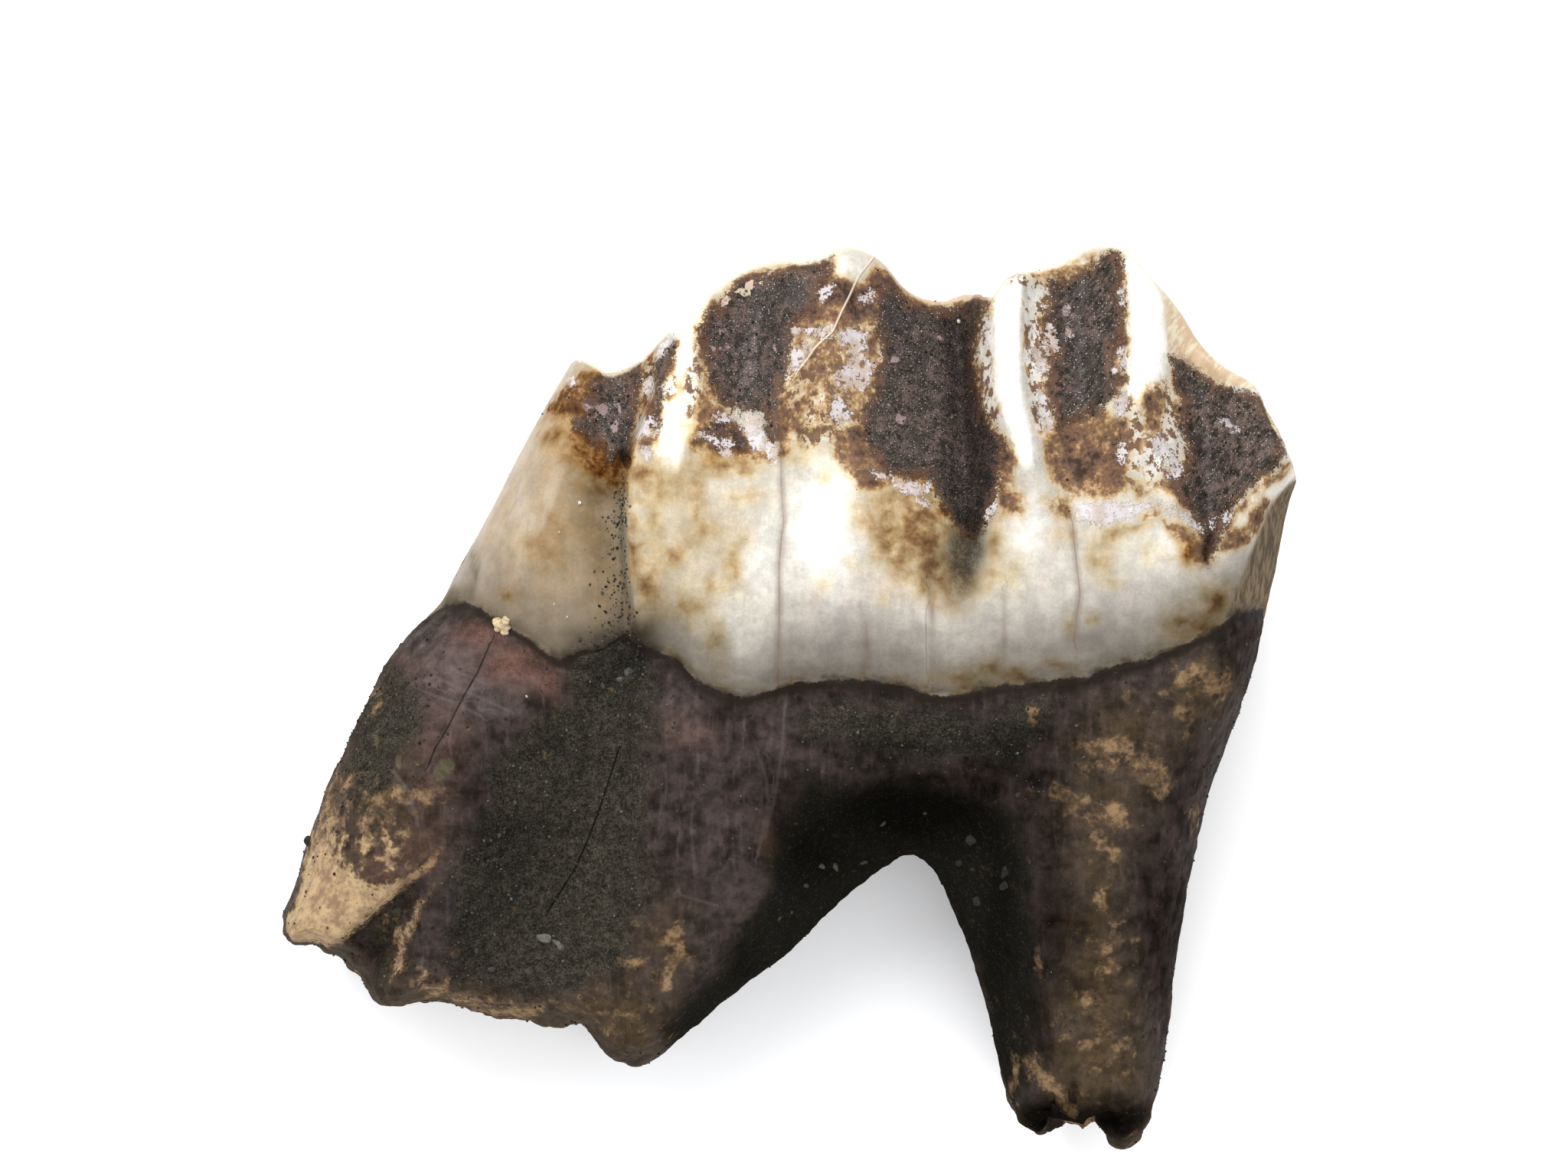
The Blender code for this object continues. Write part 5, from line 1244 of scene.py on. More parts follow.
def raggedEdgeGroup():
    # 1 where a distance field is inside, its edge broken by noise and softened over a width
    inputs = {"Field": 0.0, "Scale": 8.0, "Reach": 0.1, "Softness": 0.02}
    tree, given = startGroup("raggedEdge", inputs, ["Mask"])
    place, scale, softness = given["Place"], given["Scale"], given["Softness"]
    broad = noise(place, scale, 3, 0.6) - 0.5
    fine = noise(place, scale * 3.7, 3, 0.65) - 0.5
    total = given["Field"] + (broad + fine) * (given["Reach"] * 2)
    return endGroup(tree, {"Mask": step(total, softness * -1.0, softness)})


def specksGroup():
    # round specks in some of the cells of a Voronoi pattern, each with its own tone
    tree, given = startGroup("specks", {"Scale": 10, "Radius": 0.3, "Share": 0.5}, ["Mask", "Tone"])
    cells = joined("ShaderNodeTexVoronoi", {"Vector": given["Place"], "Scale": given["Scale"]})
    picked = joined("ShaderNodeSeparateColor", {0: cells["Color"]})
    disc = step(cells["Distance"], given["Radius"], given["Radius"] * 0.6)
    chosen = calculate("LESS_THAN", picked[0], given["Share"])
    return endGroup(tree, {"Mask": disc * chosen, "Tone": picked[1]})


enamelLook = {
    # bright: colour of the painted highlights
    "bright": (0.74, 0.73, 0.7, 1),
    "body": (0.385, 0.362, 0.312, 1),
    "pink": (0.372, 0.33, 0.285, 1),
    "cool": (0.245, 0.235, 0.222, 1),
    "warm": (0.345, 0.295, 0.21, 1),
    # low: colour of the painted shade near the neck
    "low": (0.088, 0.073, 0.055, 1),
    "beige": (0.245, 0.188, 0.122, 1),
    "grime": (0.036, 0.03, 0.023, 1),
    "pit": (0.11, 0.075, 0.045, 1),
    "front": (0.142, 0.108, 0.071, 1),
    "frontDark": (0.068, 0.051, 0.035, 1),
    "roughness": 0.34,
}


def enamelGroup(specks):
    # clean enamel: body colour with cool and warm clouds, painted shade near the neck, painted highlights,
    # grey grime, and the striated front strip
    look = enamelLook
    inputs = dict.fromkeys(["Grime", "Cool", "Bright", "Warm", "Beige", "Front"], 0)
    tree, given = startGroup("enamel", {"Neck": 1, **inputs}, surfaceOutputs)
    place = given["Place"]
    clouds = noise(place, 1.1, 3)
    mottle = noise(place, 5, 4, 0.6)
    fineMottle = noise(place, 16, 3, 0.6)
    bands = noise(stretched(place, (5, 0.9, 2)), 1, 4, 0.6)
    soft = noise(place, 2.4, 3, 0.5)
    color = blend(step(clouds, 0.42, 0.66), look["body"], look["pink"])
    color = blend(given["Warm"] * 0.9, color, look["warm"])
    beigeShare = clampedProduct(given["Beige"], step(mottle, 0.25, 0.6, 0.75, 1.05))
    color = blend(beigeShare, color, look["beige"])
    coolShare = given["Cool"] * step(mottle, 0.3, 0.6, 0.5, 1)
    color = blend(coolShare * 0.55, color, look["cool"])
    # painted shade: the enamel darkens towards the neck, where it curls under away from the light
    neckShade = step(given["Neck"] + clouds, 2.9, 0.9)
    neckShadeShare = blendValues(given["Beige"], 0.84, 0.58)
    color = blend(neckShade * neckShadeShare, color, look["low"])
    # painted highlight
    color = blend(given["Bright"], color, look["bright"])
    mottles = fineMottle + mottle
    grimeShare = given["Grime"] * step(mottles, 0.8, 1.2, 0.84, 1.06)
    color = blend(step(grimeShare, 0, 0.86), color, look["grime"])
    shade = step(bands * 0.5 + soft, 0.55, 0.95, 0.86, 1.08)
    shade = shade * step(mottles, 0.8, 1.2, 0.91, 1.06)
    color = shaded(color, shade)
    pits = useGroup(specks, {"Place": place, "Scale": 7.0, "Radius": 0.1, "Share": 0.16})
    color = blend(pits["Mask"] * 0.7, color, look["pit"])
    ridges = noise(stretched(place, (13, 0.9, 3)), 1, 4, 0.65)
    ridgeColor = blend(step(ridges, 0.4, 0.6), look["frontDark"], look["front"])
    color = blend(given["Front"], color, ridgeColor)
    rough = step(mottle, 0.3, 0.7, look["roughness"] - 0.04, look["roughness"] + 0.1)
    rough = rough + given["Grime"] * 0.3
    height = (fineMottle + bands) * 0.004
    return endGroup(tree, {"Color": color, "Roughness": rough, "Height": height})


# The tint of each density of stain, from clear enamel over gold to dark brown.
stainLook = {
    "film": [
        (0, (1, 1, 1, 1)), (0.22, (0.94, 0.82, 0.62, 1)), (0.42, (0.7, 0.48, 0.27, 1)),
        (0.6, (0.37, 0.23, 0.145, 1)), (0.8, (0.245, 0.16, 0.132, 1)), (1, (0.105, 0.07, 0.062, 1)),
    ],
    "soft": [
        (0, (1, 1, 1, 1)), (0.25, (0.94, 0.84, 0.65, 1)), (0.5, (0.73, 0.56, 0.35, 1)),
        (0.75, (0.4, 0.25, 0.14, 1)), (1, (0.19, 0.12, 0.075, 1)),
    ],
    "broadUneven": 2.4,
    "fineUneven": 1.05,
    "roughness": 0.46,
}


def stainGroup():
    # stain: a soft tint that follows the soft field and smooth noise, and a film whose density is
    # its field raised and lowered by broad and fine noise, with flecks where a noise is over a half
    look = stainLook
    inputs = dict.fromkeys(["Soft", "Film", "Flecks"], 0)
    tree, given = startGroup("stain", inputs, ["Tint", "Density", "Height"])
    place = given["Place"]
    broadPart = (noise(place, 2.9, 6, 0.66) - 0.5) * look["broadUneven"]
    finePart = (noise(place, 10, 5, 0.64) - 0.5) * look["fineUneven"]
    uneven = broadPart + finePart
    smooth = noise(place, 2.6, 4, 0.52) - 0.5
    soft = clampedProduct(given["Soft"], 0.68 + smooth * 1.9 + finePart * 0.14)
    spread = step(given["Film"], 0.03, 0.4) * uneven
    heavy = clampedSum(given["Film"], spread * 0.8)
    scribble = noise(stretched(place, (4.6, 3.8, 4), 20), 1, 5, 0.68)
    flecks = step(scribble, 0.505, 0.54) * (0.72 + uneven * 0.35)
    flecks = clampedProduct(flecks, given["Flecks"])
    heavy = larger(heavy, flecks)
    tint = blend(1, tones(soft, look["soft"]), tones(heavy, look["film"]), "MULTIPLY")
    return endGroup(tree, {"Tint": tint, "Density": larger(soft, heavy), "Height": heavy * 0.012})


crustLook = {
    "dark": (0.0125, 0.0108, 0.0086, 1),
    "body": (0.0475, 0.037, 0.0315, 1),
    "light": (0.142, 0.112, 0.098, 1),
    "pinkBrown": (0.115, 0.08, 0.068, 1),
    "edge": (0.092, 0.048, 0.028, 1),
    # speck: pale grains, and painted glints
    "grainAndGlint": (0.42, 0.39, 0.35, 1),
    "pinkSpot": (0.225, 0.165, 0.16, 1),
    "creamChip": (0.42, 0.335, 0.25, 1),
    "roughness": 0.58,
}


def crustGroup(specks):
    # crust: greenish dark body with pinkish brown areas, tiny pale specks that are sand grains and painted
    # glints, slanting fibres in the front hollow, brown patches along its edge, spots where an older layer
    # shows, and painted shade where little light reaches
    look = crustLook
    inputs = {"Inside": 1.0, "Pink": 0.0, "Chips": 0.0, "Deep": 0.0}
    tree, given = startGroup("crust", inputs, surfaceOutputs)
    place = given["Place"]
    areas = noise(place, 1.5, 4, 0.6)
    mottle = noise(place, 4.6, 5, 0.68)
    grit = noise(place, 32, 3, 0.6)
    fibres = noise(stretched(place, (2.2, 15, 3), 52), 1, 3, 0.6)
    inFront = step(joined("ShaderNodeSeparateXYZ", {0: place})["X"], 5.3, 6.4)
    pattern = blendValues(inFront * 0.5, grit, fibres)
    color = blend(step(mottle, 0.34, 0.6, 0.25, 1), look["dark"], look["body"])
    pinkArea = step(areas + given["Pink"] * 0.8, 0.46, 0.62) * step(mottle, 0.4, 0.58)
    color = blend(pinkArea * 0.85, color, look["pinkBrown"])
    color = blend(step(pattern, 0.52, 0.64, 0, 0.5), color, look["light"])
    color = blend(step(pattern, 0.5, 0.4, 0, 0.85), color, look["dark"])
    depth = given["Inside"] - (areas + mottle) * 0.9
    color = blend(step(depth, -0.55, -0.98, 0, 0.88), color, look["edge"])
    # pale specks: sand grains and painted glints, fewer in the painted shade
    fineSpecks = useGroup(specks, {"Place": place, "Scale": 21, "Radius": 0.36, "Share": 0.34})
    fineShare = fineSpecks["Mask"] * fineSpecks["Tone"] ** 1.4
    color = blend(fineShare * step(given["Deep"], 0.5, 0, 0.35, 0.95), color, look["grainAndGlint"])
    largeSpecks = useGroup(specks, {"Place": place, "Scale": 9, "Radius": 0.17, "Share": 0.16})
    color = blend(largeSpecks["Mask"] * 0.5, color, look["grainAndGlint"])
    # painted shade: the crust darkens where little light reaches
    color = shaded(color, step(given["Deep"], 0, 1, 1, 0.28))
    ragged = (mottle - 0.5) * 1.6
    color = blend(step(given["Pink"] + ragged, 0.48, 0.6), color, look["pinkSpot"])
    color = blend(step(given["Chips"] + ragged, 0.4, 0.5), color, look["creamChip"])
    rough = step(grit, 0.3, 0.7, look["roughness"] - 0.18, look["roughness"] + 0.2)
    height = (pattern + mottle) * 0.026
    return endGroup(tree, {"Color": color, "Roughness": rough, "Height": height})


rootLook = {
    "dark": (0.0105, 0.008, 0.0066, 1),
    "body": (0.037, 0.0265, 0.0228, 1),
    "light": (0.072, 0.054, 0.049, 1),
    # colour of the painted light on the root
    "lit": (0.066, 0.049, 0.045, 1),
    "rust": (0.106, 0.053, 0.04, 1),
    "brown": (0.044, 0.0292, 0.0145, 1),
    "sandDark": (0.013, 0.0112, 0.0086, 1),
    "sandLight": (0.04, 0.0355, 0.0262, 1),
    "sandGrain": (0.092, 0.088, 0.068, 1),
    "olive": (0.058, 0.05, 0.03, 1),
    "scratch": (0.11, 0.092, 0.094, 1),
    # near-black painted shade of the fork's inner faces, with lighter grit
    "inner": (0.008, 0.0074, 0.0058, 1),
    "innerGrit": (0.033, 0.033, 0.025, 1),
    "tan": (0.33, 0.235, 0.128, 1),
    "tanSoft": (0.17, 0.108, 0.066, 1),
    "tanMid": (0.19, 0.121, 0.063, 1),
    "tanDark": (0.068, 0.043, 0.023, 1),
    "crack": (0.003, 0.0025, 0.002, 1),
    "roughness": 0.5,
}


def rootGroup(specks):
    # root: dark purple brown with rusty and brown areas, painted light on some patches, pale scratches
    # along it, sand in the hollows, bare tan dentine where it has chipped, and painted shade in the hollows
    # and on the near-black inner faces of the fork
    look = rootLook
    inputs = dict.fromkeys(["Rust", "Brown", "Sand", "Inner", "Tan", "Deep", "Olive", "Lit"], 0)
    tree, given = startGroup("root", {"Scratch": 1, **inputs}, surfaceOutputs)
    place = given["Place"]
    mottle = noise(place, 2, 5, 0.58)
    grit = noise(place, 18, 4, 0.64)
    patches = noise(place, 3.4, 6, 0.7)
    wide = noise(place, 1.5, 5, 0.64)
    streaks = noise(stretched(place, (6, 1.1, 3)), 1, 5, 0.6)
    color = blend(step(mottle, 0.34, 0.62), look["dark"], look["body"])
    color = blend(step(streaks, 0.5, 0.76, 0, 0.6), color, look["light"])
    # painted light on patches that face away from the lamps
    litShare = given["Lit"] * step(mottle, 0.3, 0.62, 0.55, 1)
    color = blend(litShare, color, look["lit"])
    warm = step(grit, 0.25, 0.65, 0.45, 1.1)
    color = blend(clampedProduct(given["Rust"], warm), color, look["rust"])
    brownShare = given["Brown"] * step(wide, 0.38, 0.6, 0.62, 1.15)
    brownShare = clampedProduct(brownShare, step(streaks, 0.35, 0.65, 0.8, 1.1))
    color = blend(brownShare, color, look["brown"])
    clumps = noise(place, 6.5, 6, 0.72)
    sandy = given["Sand"] + (clumps - 0.5) * 1.6
    sandy = step(sandy, 0.1, 0.85) * step(given["Sand"], 0.02, 0.3)
    sandColor = blend(step(clumps * 0.5 + grit, 0.6, 0.92), look["sandDark"], look["sandLight"])
    color = blend(sandy, color, sandColor)
    grains = useGroup(specks, {"Place": place, "Scale": 17.0, "Radius": 0.36, "Share": 0.4})
    grainShare = grains["Mask"] * (sandy * 0.75)
    color = blend(grainShare, color, blend(grains["Tone"], look["sandDark"], look["sandGrain"]))
    color = blend(step(given["Olive"] + (clumps - 0.5), 0.44, 0.56), color, look["olive"])
    color = shaded(color, step(patches, 0.36, 0.66, 0.74, 1.28))
    gritty = step(grit, 0.48, 0.7) * step(clumps, 0.38, 0.66)
    # painted shade: the inner faces turn near black, with some grit
    color = blend(given["Inner"], color, blend(gritty, look["inner"], look["innerGrit"]))
    fineLine = noise(stretched(place, (26, 2.4, 6), 7), 1, 2, 0.5)
    fineLine = step(fineLine, 0.66, 0.74) * step(given["Inner"], 0.6, 0)
    color = blend(fineLine * 0.12, color, look["scratch"])
    color = blend(given["Scratch"] * 0.75, color, look["scratch"])
    tanLevel = noise(place, 2.7, 5, 0.6) + noise(place, 10, 4, 0.6) * 0.5
    tanColor = blend(step(tanLevel, 0.62, 0.88), look["tanDark"], look["tanMid"])
    axes = joined("ShaderNodeSeparateXYZ", {0: place})
    corner = step(axes["X"], -8, -9.4) * step(axes["Y"], -2.4, -3.6)
    full = step(given["Tan"], 0.4, 0.85) * corner
    cornerColor = blend(step(tanLevel, 0.58, 0.92), look["tanSoft"], look["tan"])
    color = blend(step(given["Tan"], 0, 1), color, blend(full, tanColor, cornerColor))
    # painted shade: the root darkens where little light reaches
    color = shaded(color, step(given["Deep"], 0, 1, 1, 0.27))
    rough = step(grit, 0.3, 0.7, look["roughness"] - 0.08, look["roughness"] + 0.16)
    rough = clampedSum(rough, given["Sand"] * 0.35)
    height = grit * 0.016 + streaks * 0.012 + grainShare * 0.02
    return endGroup(tree, {"Color": color, "Roughness": rough, "Height": height})


toothLook = {
    "flaked": (0.41, 0.375, 0.382, 1),
    "flakedWarm": (0.33, 0.265, 0.225, 1),
    "rimCream": (0.46, 0.4, 0.29, 1),
    "rimTan": (0.34, 0.245, 0.155, 1),
    "dentine": (0.12, 0.073, 0.042, 1),
    "dentineLight": (0.24, 0.16, 0.09, 1),
    "crack": (0.105, 0.06, 0.033, 1),
    "seam": (0.52, 0.46, 0.37, 1),
    "neckLine": (0.013, 0.0095, 0.007, 1),
    "dentineRoughness": 0.55,
    "flakedRoughness": 0.42,
    "flakedDepth": 0.012,
    "crackDepth": 0.02,
    "enamelCoat": 0.5,
    "crustCoat": 0.11,
    "rootCoat": 0.07,
}


def newMaterial(name):
    material = bpy.data.materials.new(name)
    material.use_nodes = True
    return material, material.node_tree, material.node_tree.nodes["Principled BSDF"]


def toothMaterial(names):
    # each mark of the skin gives the share of its own layer, and the layers are laid over one
    # another: enamel, stain, flakes, dentine, crust, rims, lines, then the root under the neck
    look = toothLook
    specks = specksGroup()
    ragged = raggedEdgeGroup()
    material, tree, shader = newMaterial("fossilTooth")
    place = addNode(tree, "ShaderNodeTexCoord")["Object"]
    place = joined("ShaderNodeVectorMath", {0: place, "Scale": 1 / mm}, operation="SCALE")[0]
    marks = {name: field(tree, name) for name in names}
    beside = step(marks["nearLine"], 0.4, 0.22)

    def mask(name, scale, reach, softness):
        values = {"Field": marks[name], "Scale": scale, "Reach": reach, "Softness": softness}
        return useGroup(ragged, {"Place": place, **values})["Mask"]

    def line(name, width, core=0.002, aside=0):
        return step(calculate("ABSOLUTE", marks[name] - aside), width, core) * beside

    def dressed(group, sources, **others):
        # the group, each input fed by the mark of its name or by the one that is named for it
        values = {name.capitalize(): marks[name] for name in sources}
        return useGroup(group, {"Place": place, **values, **others})

    enamel = dressed(enamelGroup(specks), ["neck", "grime", "cool", "bright", "warm", "beige", "front"])
    stain = dressed(stainGroup(), ["film", "flecks"], Soft=marks["ochre"])
    dark = dressed(crustGroup(specks), ["pink", "chips", "deep"], Inside=marks["crust"])
    cloud = marks["tanCloud"] * 0.4 + noise(place, 2.6, 5, 0.62)
    cloud = step(cloud, 0.58, 0.88, 0, 0.92)
    root = dressed(
        rootGroup(specks), ["rust", "brown", "sand", "inner", "deep", "olive", "lit"],
        Tan=larger(mask("tan", 2.6, 0.2, 0.16), cloud), Scratch=line("scratch", 0.07) * 0.3,
    )

    crown = mask("neck", 5, 0.07, 0.02)
    islands = step(noise(place, 6, 5, 0.68), 0.545, 0.575, 1, 0)
    flakedShare = mask("flaked", 5, 0.2, 0.02) * islands
    crustShare = mask("crust", 7, 0.26, 0.05) * (1 - flakedShare)
    dentineShare = mask("dentine", 4, 0.1, 0.06)
    rimShare = mask("rim", 8, 0.06, 0.05)
    crackLine = larger(line("crack", 0.15) * 0.42, line("crack", 0.045) * 0.66)
    crackLine = larger(crackLine, line("fineCrack", 0.12) * 0.24)
    thread = line("seam", 0.016, 0.002, 0.036) * 0.7
    neckWidth = step(noise(place, 2.2, 5, 0.65), 0.35, 0.65, 0.12, 0.42)
    neckLine = step(calculate("ABSOLUTE", marks["neck"] + 0.11), neckWidth, 0)

    dentineColor = blend(step(noise(place, 3, 4), 0.4, 0.6), look["dentine"], look["dentineLight"])
    slanted = stretched(place, (2, 9, 3), 50)
    bandLevel = step(noise(slanted, 1, 4, 0.65), 0.4, 0.62)
    bandLevel = bandLevel * step(noise(place, 1.6, 4), 0.35, 0.65)
    tanBand = blend(bandLevel, look["rimTan"], look["rimCream"])
    rimColor = blend(marks["tanRim"], look["rimCream"], tanBand)
    warmFlakes = step(noise(place, 1.6, 4, 0.6), 0.44, 0.6)
    flakeColor = blend(warmFlakes, look["flaked"], look["flakedWarm"])
    color = blend(1, enamel["Color"], stain["Tint"], "MULTIPLY")
    for share, over in (
        (flakedShare, flakeColor), (dentineShare, dentineColor), (crustShare, dark["Color"]),
        (rimShare, rimColor), (line("seam", 0.034, 0.008) * 0.8, look["seam"]),
        (larger(crackLine, thread), look["crack"]),
    ):
        color = blend(share, color, over)
    rootColor = blend(line("crack", 0.034, 0.012) * 0.8, root["Color"], rootLook["crack"])
    color = blend(crown, rootColor, color)
    color = blend(neckLine * 0.88, color, look["neckLine"])

    rough = blendValues(dentineShare, enamel["Roughness"], look["dentineRoughness"])
    rough = blendValues(stain["Density"], rough, stainLook["roughness"])
    rough = blendValues(crustShare, rough, dark["Roughness"])
    rough = blendValues(flakedShare, rough, look["flakedRoughness"])
    rough = blendValues(crown, root["Roughness"], rough)
    height = blendValues(crustShare, enamel["Height"] + stain["Height"], dark["Height"])
    height = height - flakedShare * look["flakedDepth"] - crackLine * look["crackDepth"]
    height = blendValues(crown, root["Height"], height)
    dull = larger(stain["Density"], marks["grime"])
    bareEnamel = step(dull, 0.05, 0.6, look["enamelCoat"], 0)
    bareEnamel = bareEnamel * step(marks["neck"], 0.12, 0.55)
    # the coat fades where the painted shade lies, and on the root also under sand
    onCrust = step(marks["deep"], 0, 0.5, look["crustCoat"], 0)
    bareEnamel = blendValues(crustShare, bareEnamel, onCrust)
    bareEnamel = blendValues(marks["front"], bareEnamel, 0)
    sandAndShade = larger(larger(marks["sand"], marks["inner"]), marks["deep"])
    bareRoot = step(sandAndShade, 0, 0.8, look["rootCoat"], 0)
    bump = joined("ShaderNodeBump", {"Height": height, "Strength": 1, "Distance": mm})
    setInputs(shader, {
        "Base Color": color, "Roughness": rough, "Normal": bump["Normal"],
        "Coat Weight": blendValues(crown, bareRoot, bareEnamel),
        "Coat Roughness": 0.24, "Specular IOR Level": 0.0, "IOR": 1.52,
    })
    return material


def unitLump(columns, rows):
    # a sphere on a grid of two angles, closed by a point at each pole: directions and faces
    around = np.linspace(0, 2 * np.pi, columns, endpoint=False)[None, :]
    down = np.linspace(0, np.pi, rows + 1)[1:-1, None]
    level = np.cos(down) + 0 * around
    rings = np.stack([np.sin(down) * np.cos(around), np.sin(down) * np.sin(around), level], -1)
    directions = np.vstack([rings.reshape(-1, 3), [[0, 0, 1]], [[0, 0, -1]]])
    index = np.arange((rows - 1) * columns).reshape(rows - 1, columns)
    here, onward = index[:-1], index[1:]
    quads = np.stack([here, onward, np.roll(onward, -1, 1), np.roll(here, -1, 1)], -1).reshape(-1, 4)
    top, bottom = len(directions) - 2, len(directions) - 1
    topFan = np.stack([np.full(columns, top), index[0], np.roll(index[0], -1)], -1)
    bottomFan = np.stack([np.full(columns, bottom), np.roll(index[-1], -1), index[-1]], -1)
    triangles = np.vstack([
        quads[:, [0, 1, 2]], quads[:, [0, 2, 3]], topFan, bottomFan,
    ])
    return directions, triangles


def randomTurns(count, generator, flat):
    # evenly spread rotations, from unit quaternions, or turns about z alone
    q = generator.normal(size=(count, 4)) * ((1, 0, 0, 1) if flat else (1, 1, 1, 1))
    w, x, y, z = (q / np.linalg.norm(q, axis=1)[:, None]).T
    rows = [
        [1 - 2 * (y * y + z * z), 2 * (x * y - z * w), 2 * (x * z + y * w)],
        [2 * (x * y + z * w), 1 - 2 * (x * x + z * z), 2 * (y * z - x * w)],
        [2 * (x * z - y * w), 2 * (y * z + x * w), 1 - 2 * (x * x + y * y)],
    ]
    return np.moveaxis(np.array(rows), -1, 0)


def lumpMesh(name, centres, sizes, levels, columns, rows, unevenness, seed, flat=False):
    # each lump is the unit sphere with its radius varied by noise, scaled by its three sizes,
    # turned at random and set at its centre
    generator = np.random.default_rng(seed)
    directions, triangles = unitLump(columns, rows)
    count, corners = len(centres), len(directions)
    offsets = generator.uniform(0, 90, (count, 1, 3))
    bumps = grain((directions[None] + offsets).reshape(-1, 3), 0.8, seed, 3).reshape(count, corners, 1)
    local = directions[None] * (1 + unevenness * bumps) * sizes[:, None, :]
    points = np.einsum("nij,nkj->nki", randomTurns(count, generator, flat), local) + centres[:, None, :]
    faces = (triangles[None] + corners * np.arange(count)[:, None, None]).reshape(-1, 3)
    mesh = bpy.data.meshes.new(name)
    mesh.from_pydata((points.reshape(-1, 3) * mm).tolist(), [], faces.tolist())
    addAttributes(mesh, {"tone": np.repeat(levels, corners)})
    return mesh


def grainMaterial():
    material, tree, shader = newMaterial("sandAndCrumbs")
    place = addNode(tree, "ShaderNodeTexCoord")["Object"]
    spots = step(noise(place, 14000, 3, 0.6), 0.35, 0.65, 0.7, 1.2)
    color = shaded(tones(field(tree, "tone"), sandGrains["tones"]), spots)
    setInputs(shader, {"Base Color": color, "Roughness": 0.6, "Specular IOR Level": 0.1})
    return material


def scatterPlaces(mesh, points, normals, chances, generator):
    # random places on the triangles, about chance per square millimetre, with their normals
    mesh.calc_loop_triangles()
    corners = np.empty(len(mesh.loop_triangles) * 3, np.int32)
    mesh.loop_triangles.foreach_get("vertices", corners)
    corners = corners.reshape(-1, 3)
    a, b, c = points[corners].swapaxes(0, 1)
    areas = 0.5 * np.linalg.norm(np.cross(b - a, c - a), axis=1)
    expected = areas * chances[corners].mean(axis=1)
    total = generator.poisson(expected.sum())
    chosen = generator.choice(len(corners), total, p=expected / expected.sum())
    u, v = generator.random((2, total))
    over = u + v > 1
    u, v = np.where(over, 1 - u, u)[:, None], np.where(over, 1 - v, v)[:, None]
    places = a[chosen] + u * (b - a)[chosen] + v * (c - a)[chosen]
    return places, normals[corners[chosen, 0]]


sandGrains = {
    "crownShare": {"crust": 26.0, "groove": 160.0, "film": 2.0},
    "rootShare": {"hollows": 62.0, "faces": 6.0},
    "smallest": 0.012,
    "largest": 0.038,
    "sunk": 0.25,
    "limit": 5400,
    "offGround": 0.14,
    "tones": [
        (0, (0.007, 0.006, 0.005, 1)), (0.35, (0.018, 0.016, 0.013, 1)),
        (0.62, (0.046, 0.043, 0.033, 1)), (0.78, (0.08, 0.076, 0.06, 1)),
        (0.86, (0.066, 0.072, 0.067, 1)), (0.92, (0.16, 0.145, 0.12, 1)),
        (0.965, (0.4, 0.31, 0.19, 1)), (1, (0.58, 0.56, 0.52, 1)),
    ],
}


def addSand(name, skinData, points, normals, chances, material, seed, toneShift):
    amounts = sandGrains
    generator = np.random.default_rng(seed)
    places, facing = scatterPlaces(skinData, points, normals, chances, generator)
    places, facing = places[: amounts["limit"]], facing[: amounts["limit"]]
    count = len(places)
    span = amounts["largest"] - amounts["smallest"]
    radius = amounts["smallest"] + span * generator.random(count) ** 2.2
    sizes = radius[:, None] * generator.uniform(0.7, 1.3, (count, 3))
    levels = np.clip(generator.beta(2, 2.1, count) * 0.95 + toneShift, 0, 0.99)
    centres = places + facing * radius[:, None] * amounts["sunk"]
    ridesWithTooth(addObject(name, lumpMesh(name, centres, sizes, levels, 6, 4, 0.35, seed)), material)
    print(name, count, "grains")


# Larger crumbs stuck to the tongue side: x, y, three sizes, tone. The crumbs in the fork get dark tones
# that paint in the fork's shade.
crumbs = [
    -6.68,1.74,.17,.24,.08,.965, -6.55,1.88,.1,.12,.06,.965, -6.8,1.62,.12,.1,.06,.962,
    -6.62,1.52,.09,.1,.05,.96, -5.68,-5.58,.19,.11,.07,.8, -5.4,-5.74,.17,.07,.05,.76,
    -9.15,-4.95,.12,.09,.05,.62, -11.25,-3.35,.13,.11,.09,.3, -3.75,.65,.11,.09,.05,.86,
    -3.95,.45,.09,.07,.05,.84, -4.35,.35,.08,.06,.05,.55, -3.55,.95,.07,.06,.05,.58,
    1.05,-3.88,.13,.07,.05,.56, .74,-3.92,.1,.06,.04,.52, .35,-4.4,.09,.05,.04,.42,
    1.75,-3.8,.12,.05,.04,.42, 2.2,-2.9,.09,.05,.03,.42, -.2,-5.1,.06,.04,.03,.48, 3.2,-2.7,.05,.04,.03,.42,
    .05,-4.95,.05,.04,.03,.48, 4.45,-4.75,.13,.1,.05,.26, 4.3,-3.25,.2,.13,.04,.18, 5.05,-4,.17,.1,.04,.16,
    5.1,-4.35,.15,.1,.04,.16, 5.3,-2.2,.07,.06,.05,.42, 4,-3.8,.11,.08,.04,.16, -4.88,4.62,.045,.04,.04,1,
    4,8.85,.05,.05,.04,.98, -6.15,.1,.035,.03,.03,.96, -5.4,3.95,.025,.02,.02,.98, -5.4,2.3,.03,.02,.02,.98,
    -5.15,2,.03,.02,.02,.98, -6.75,-3.2,.06,.05,.04,.56, -4.6,-1.7,.05,.04,.04,.6, -7.3,-5.9,.07,.06,.04,.5,
    -4.1,-3.2,.05,.04,.04,.6, -7,-6.3,.1,.07,.04,.5, -6.4,-2.4,.05,.05,.04,.6]


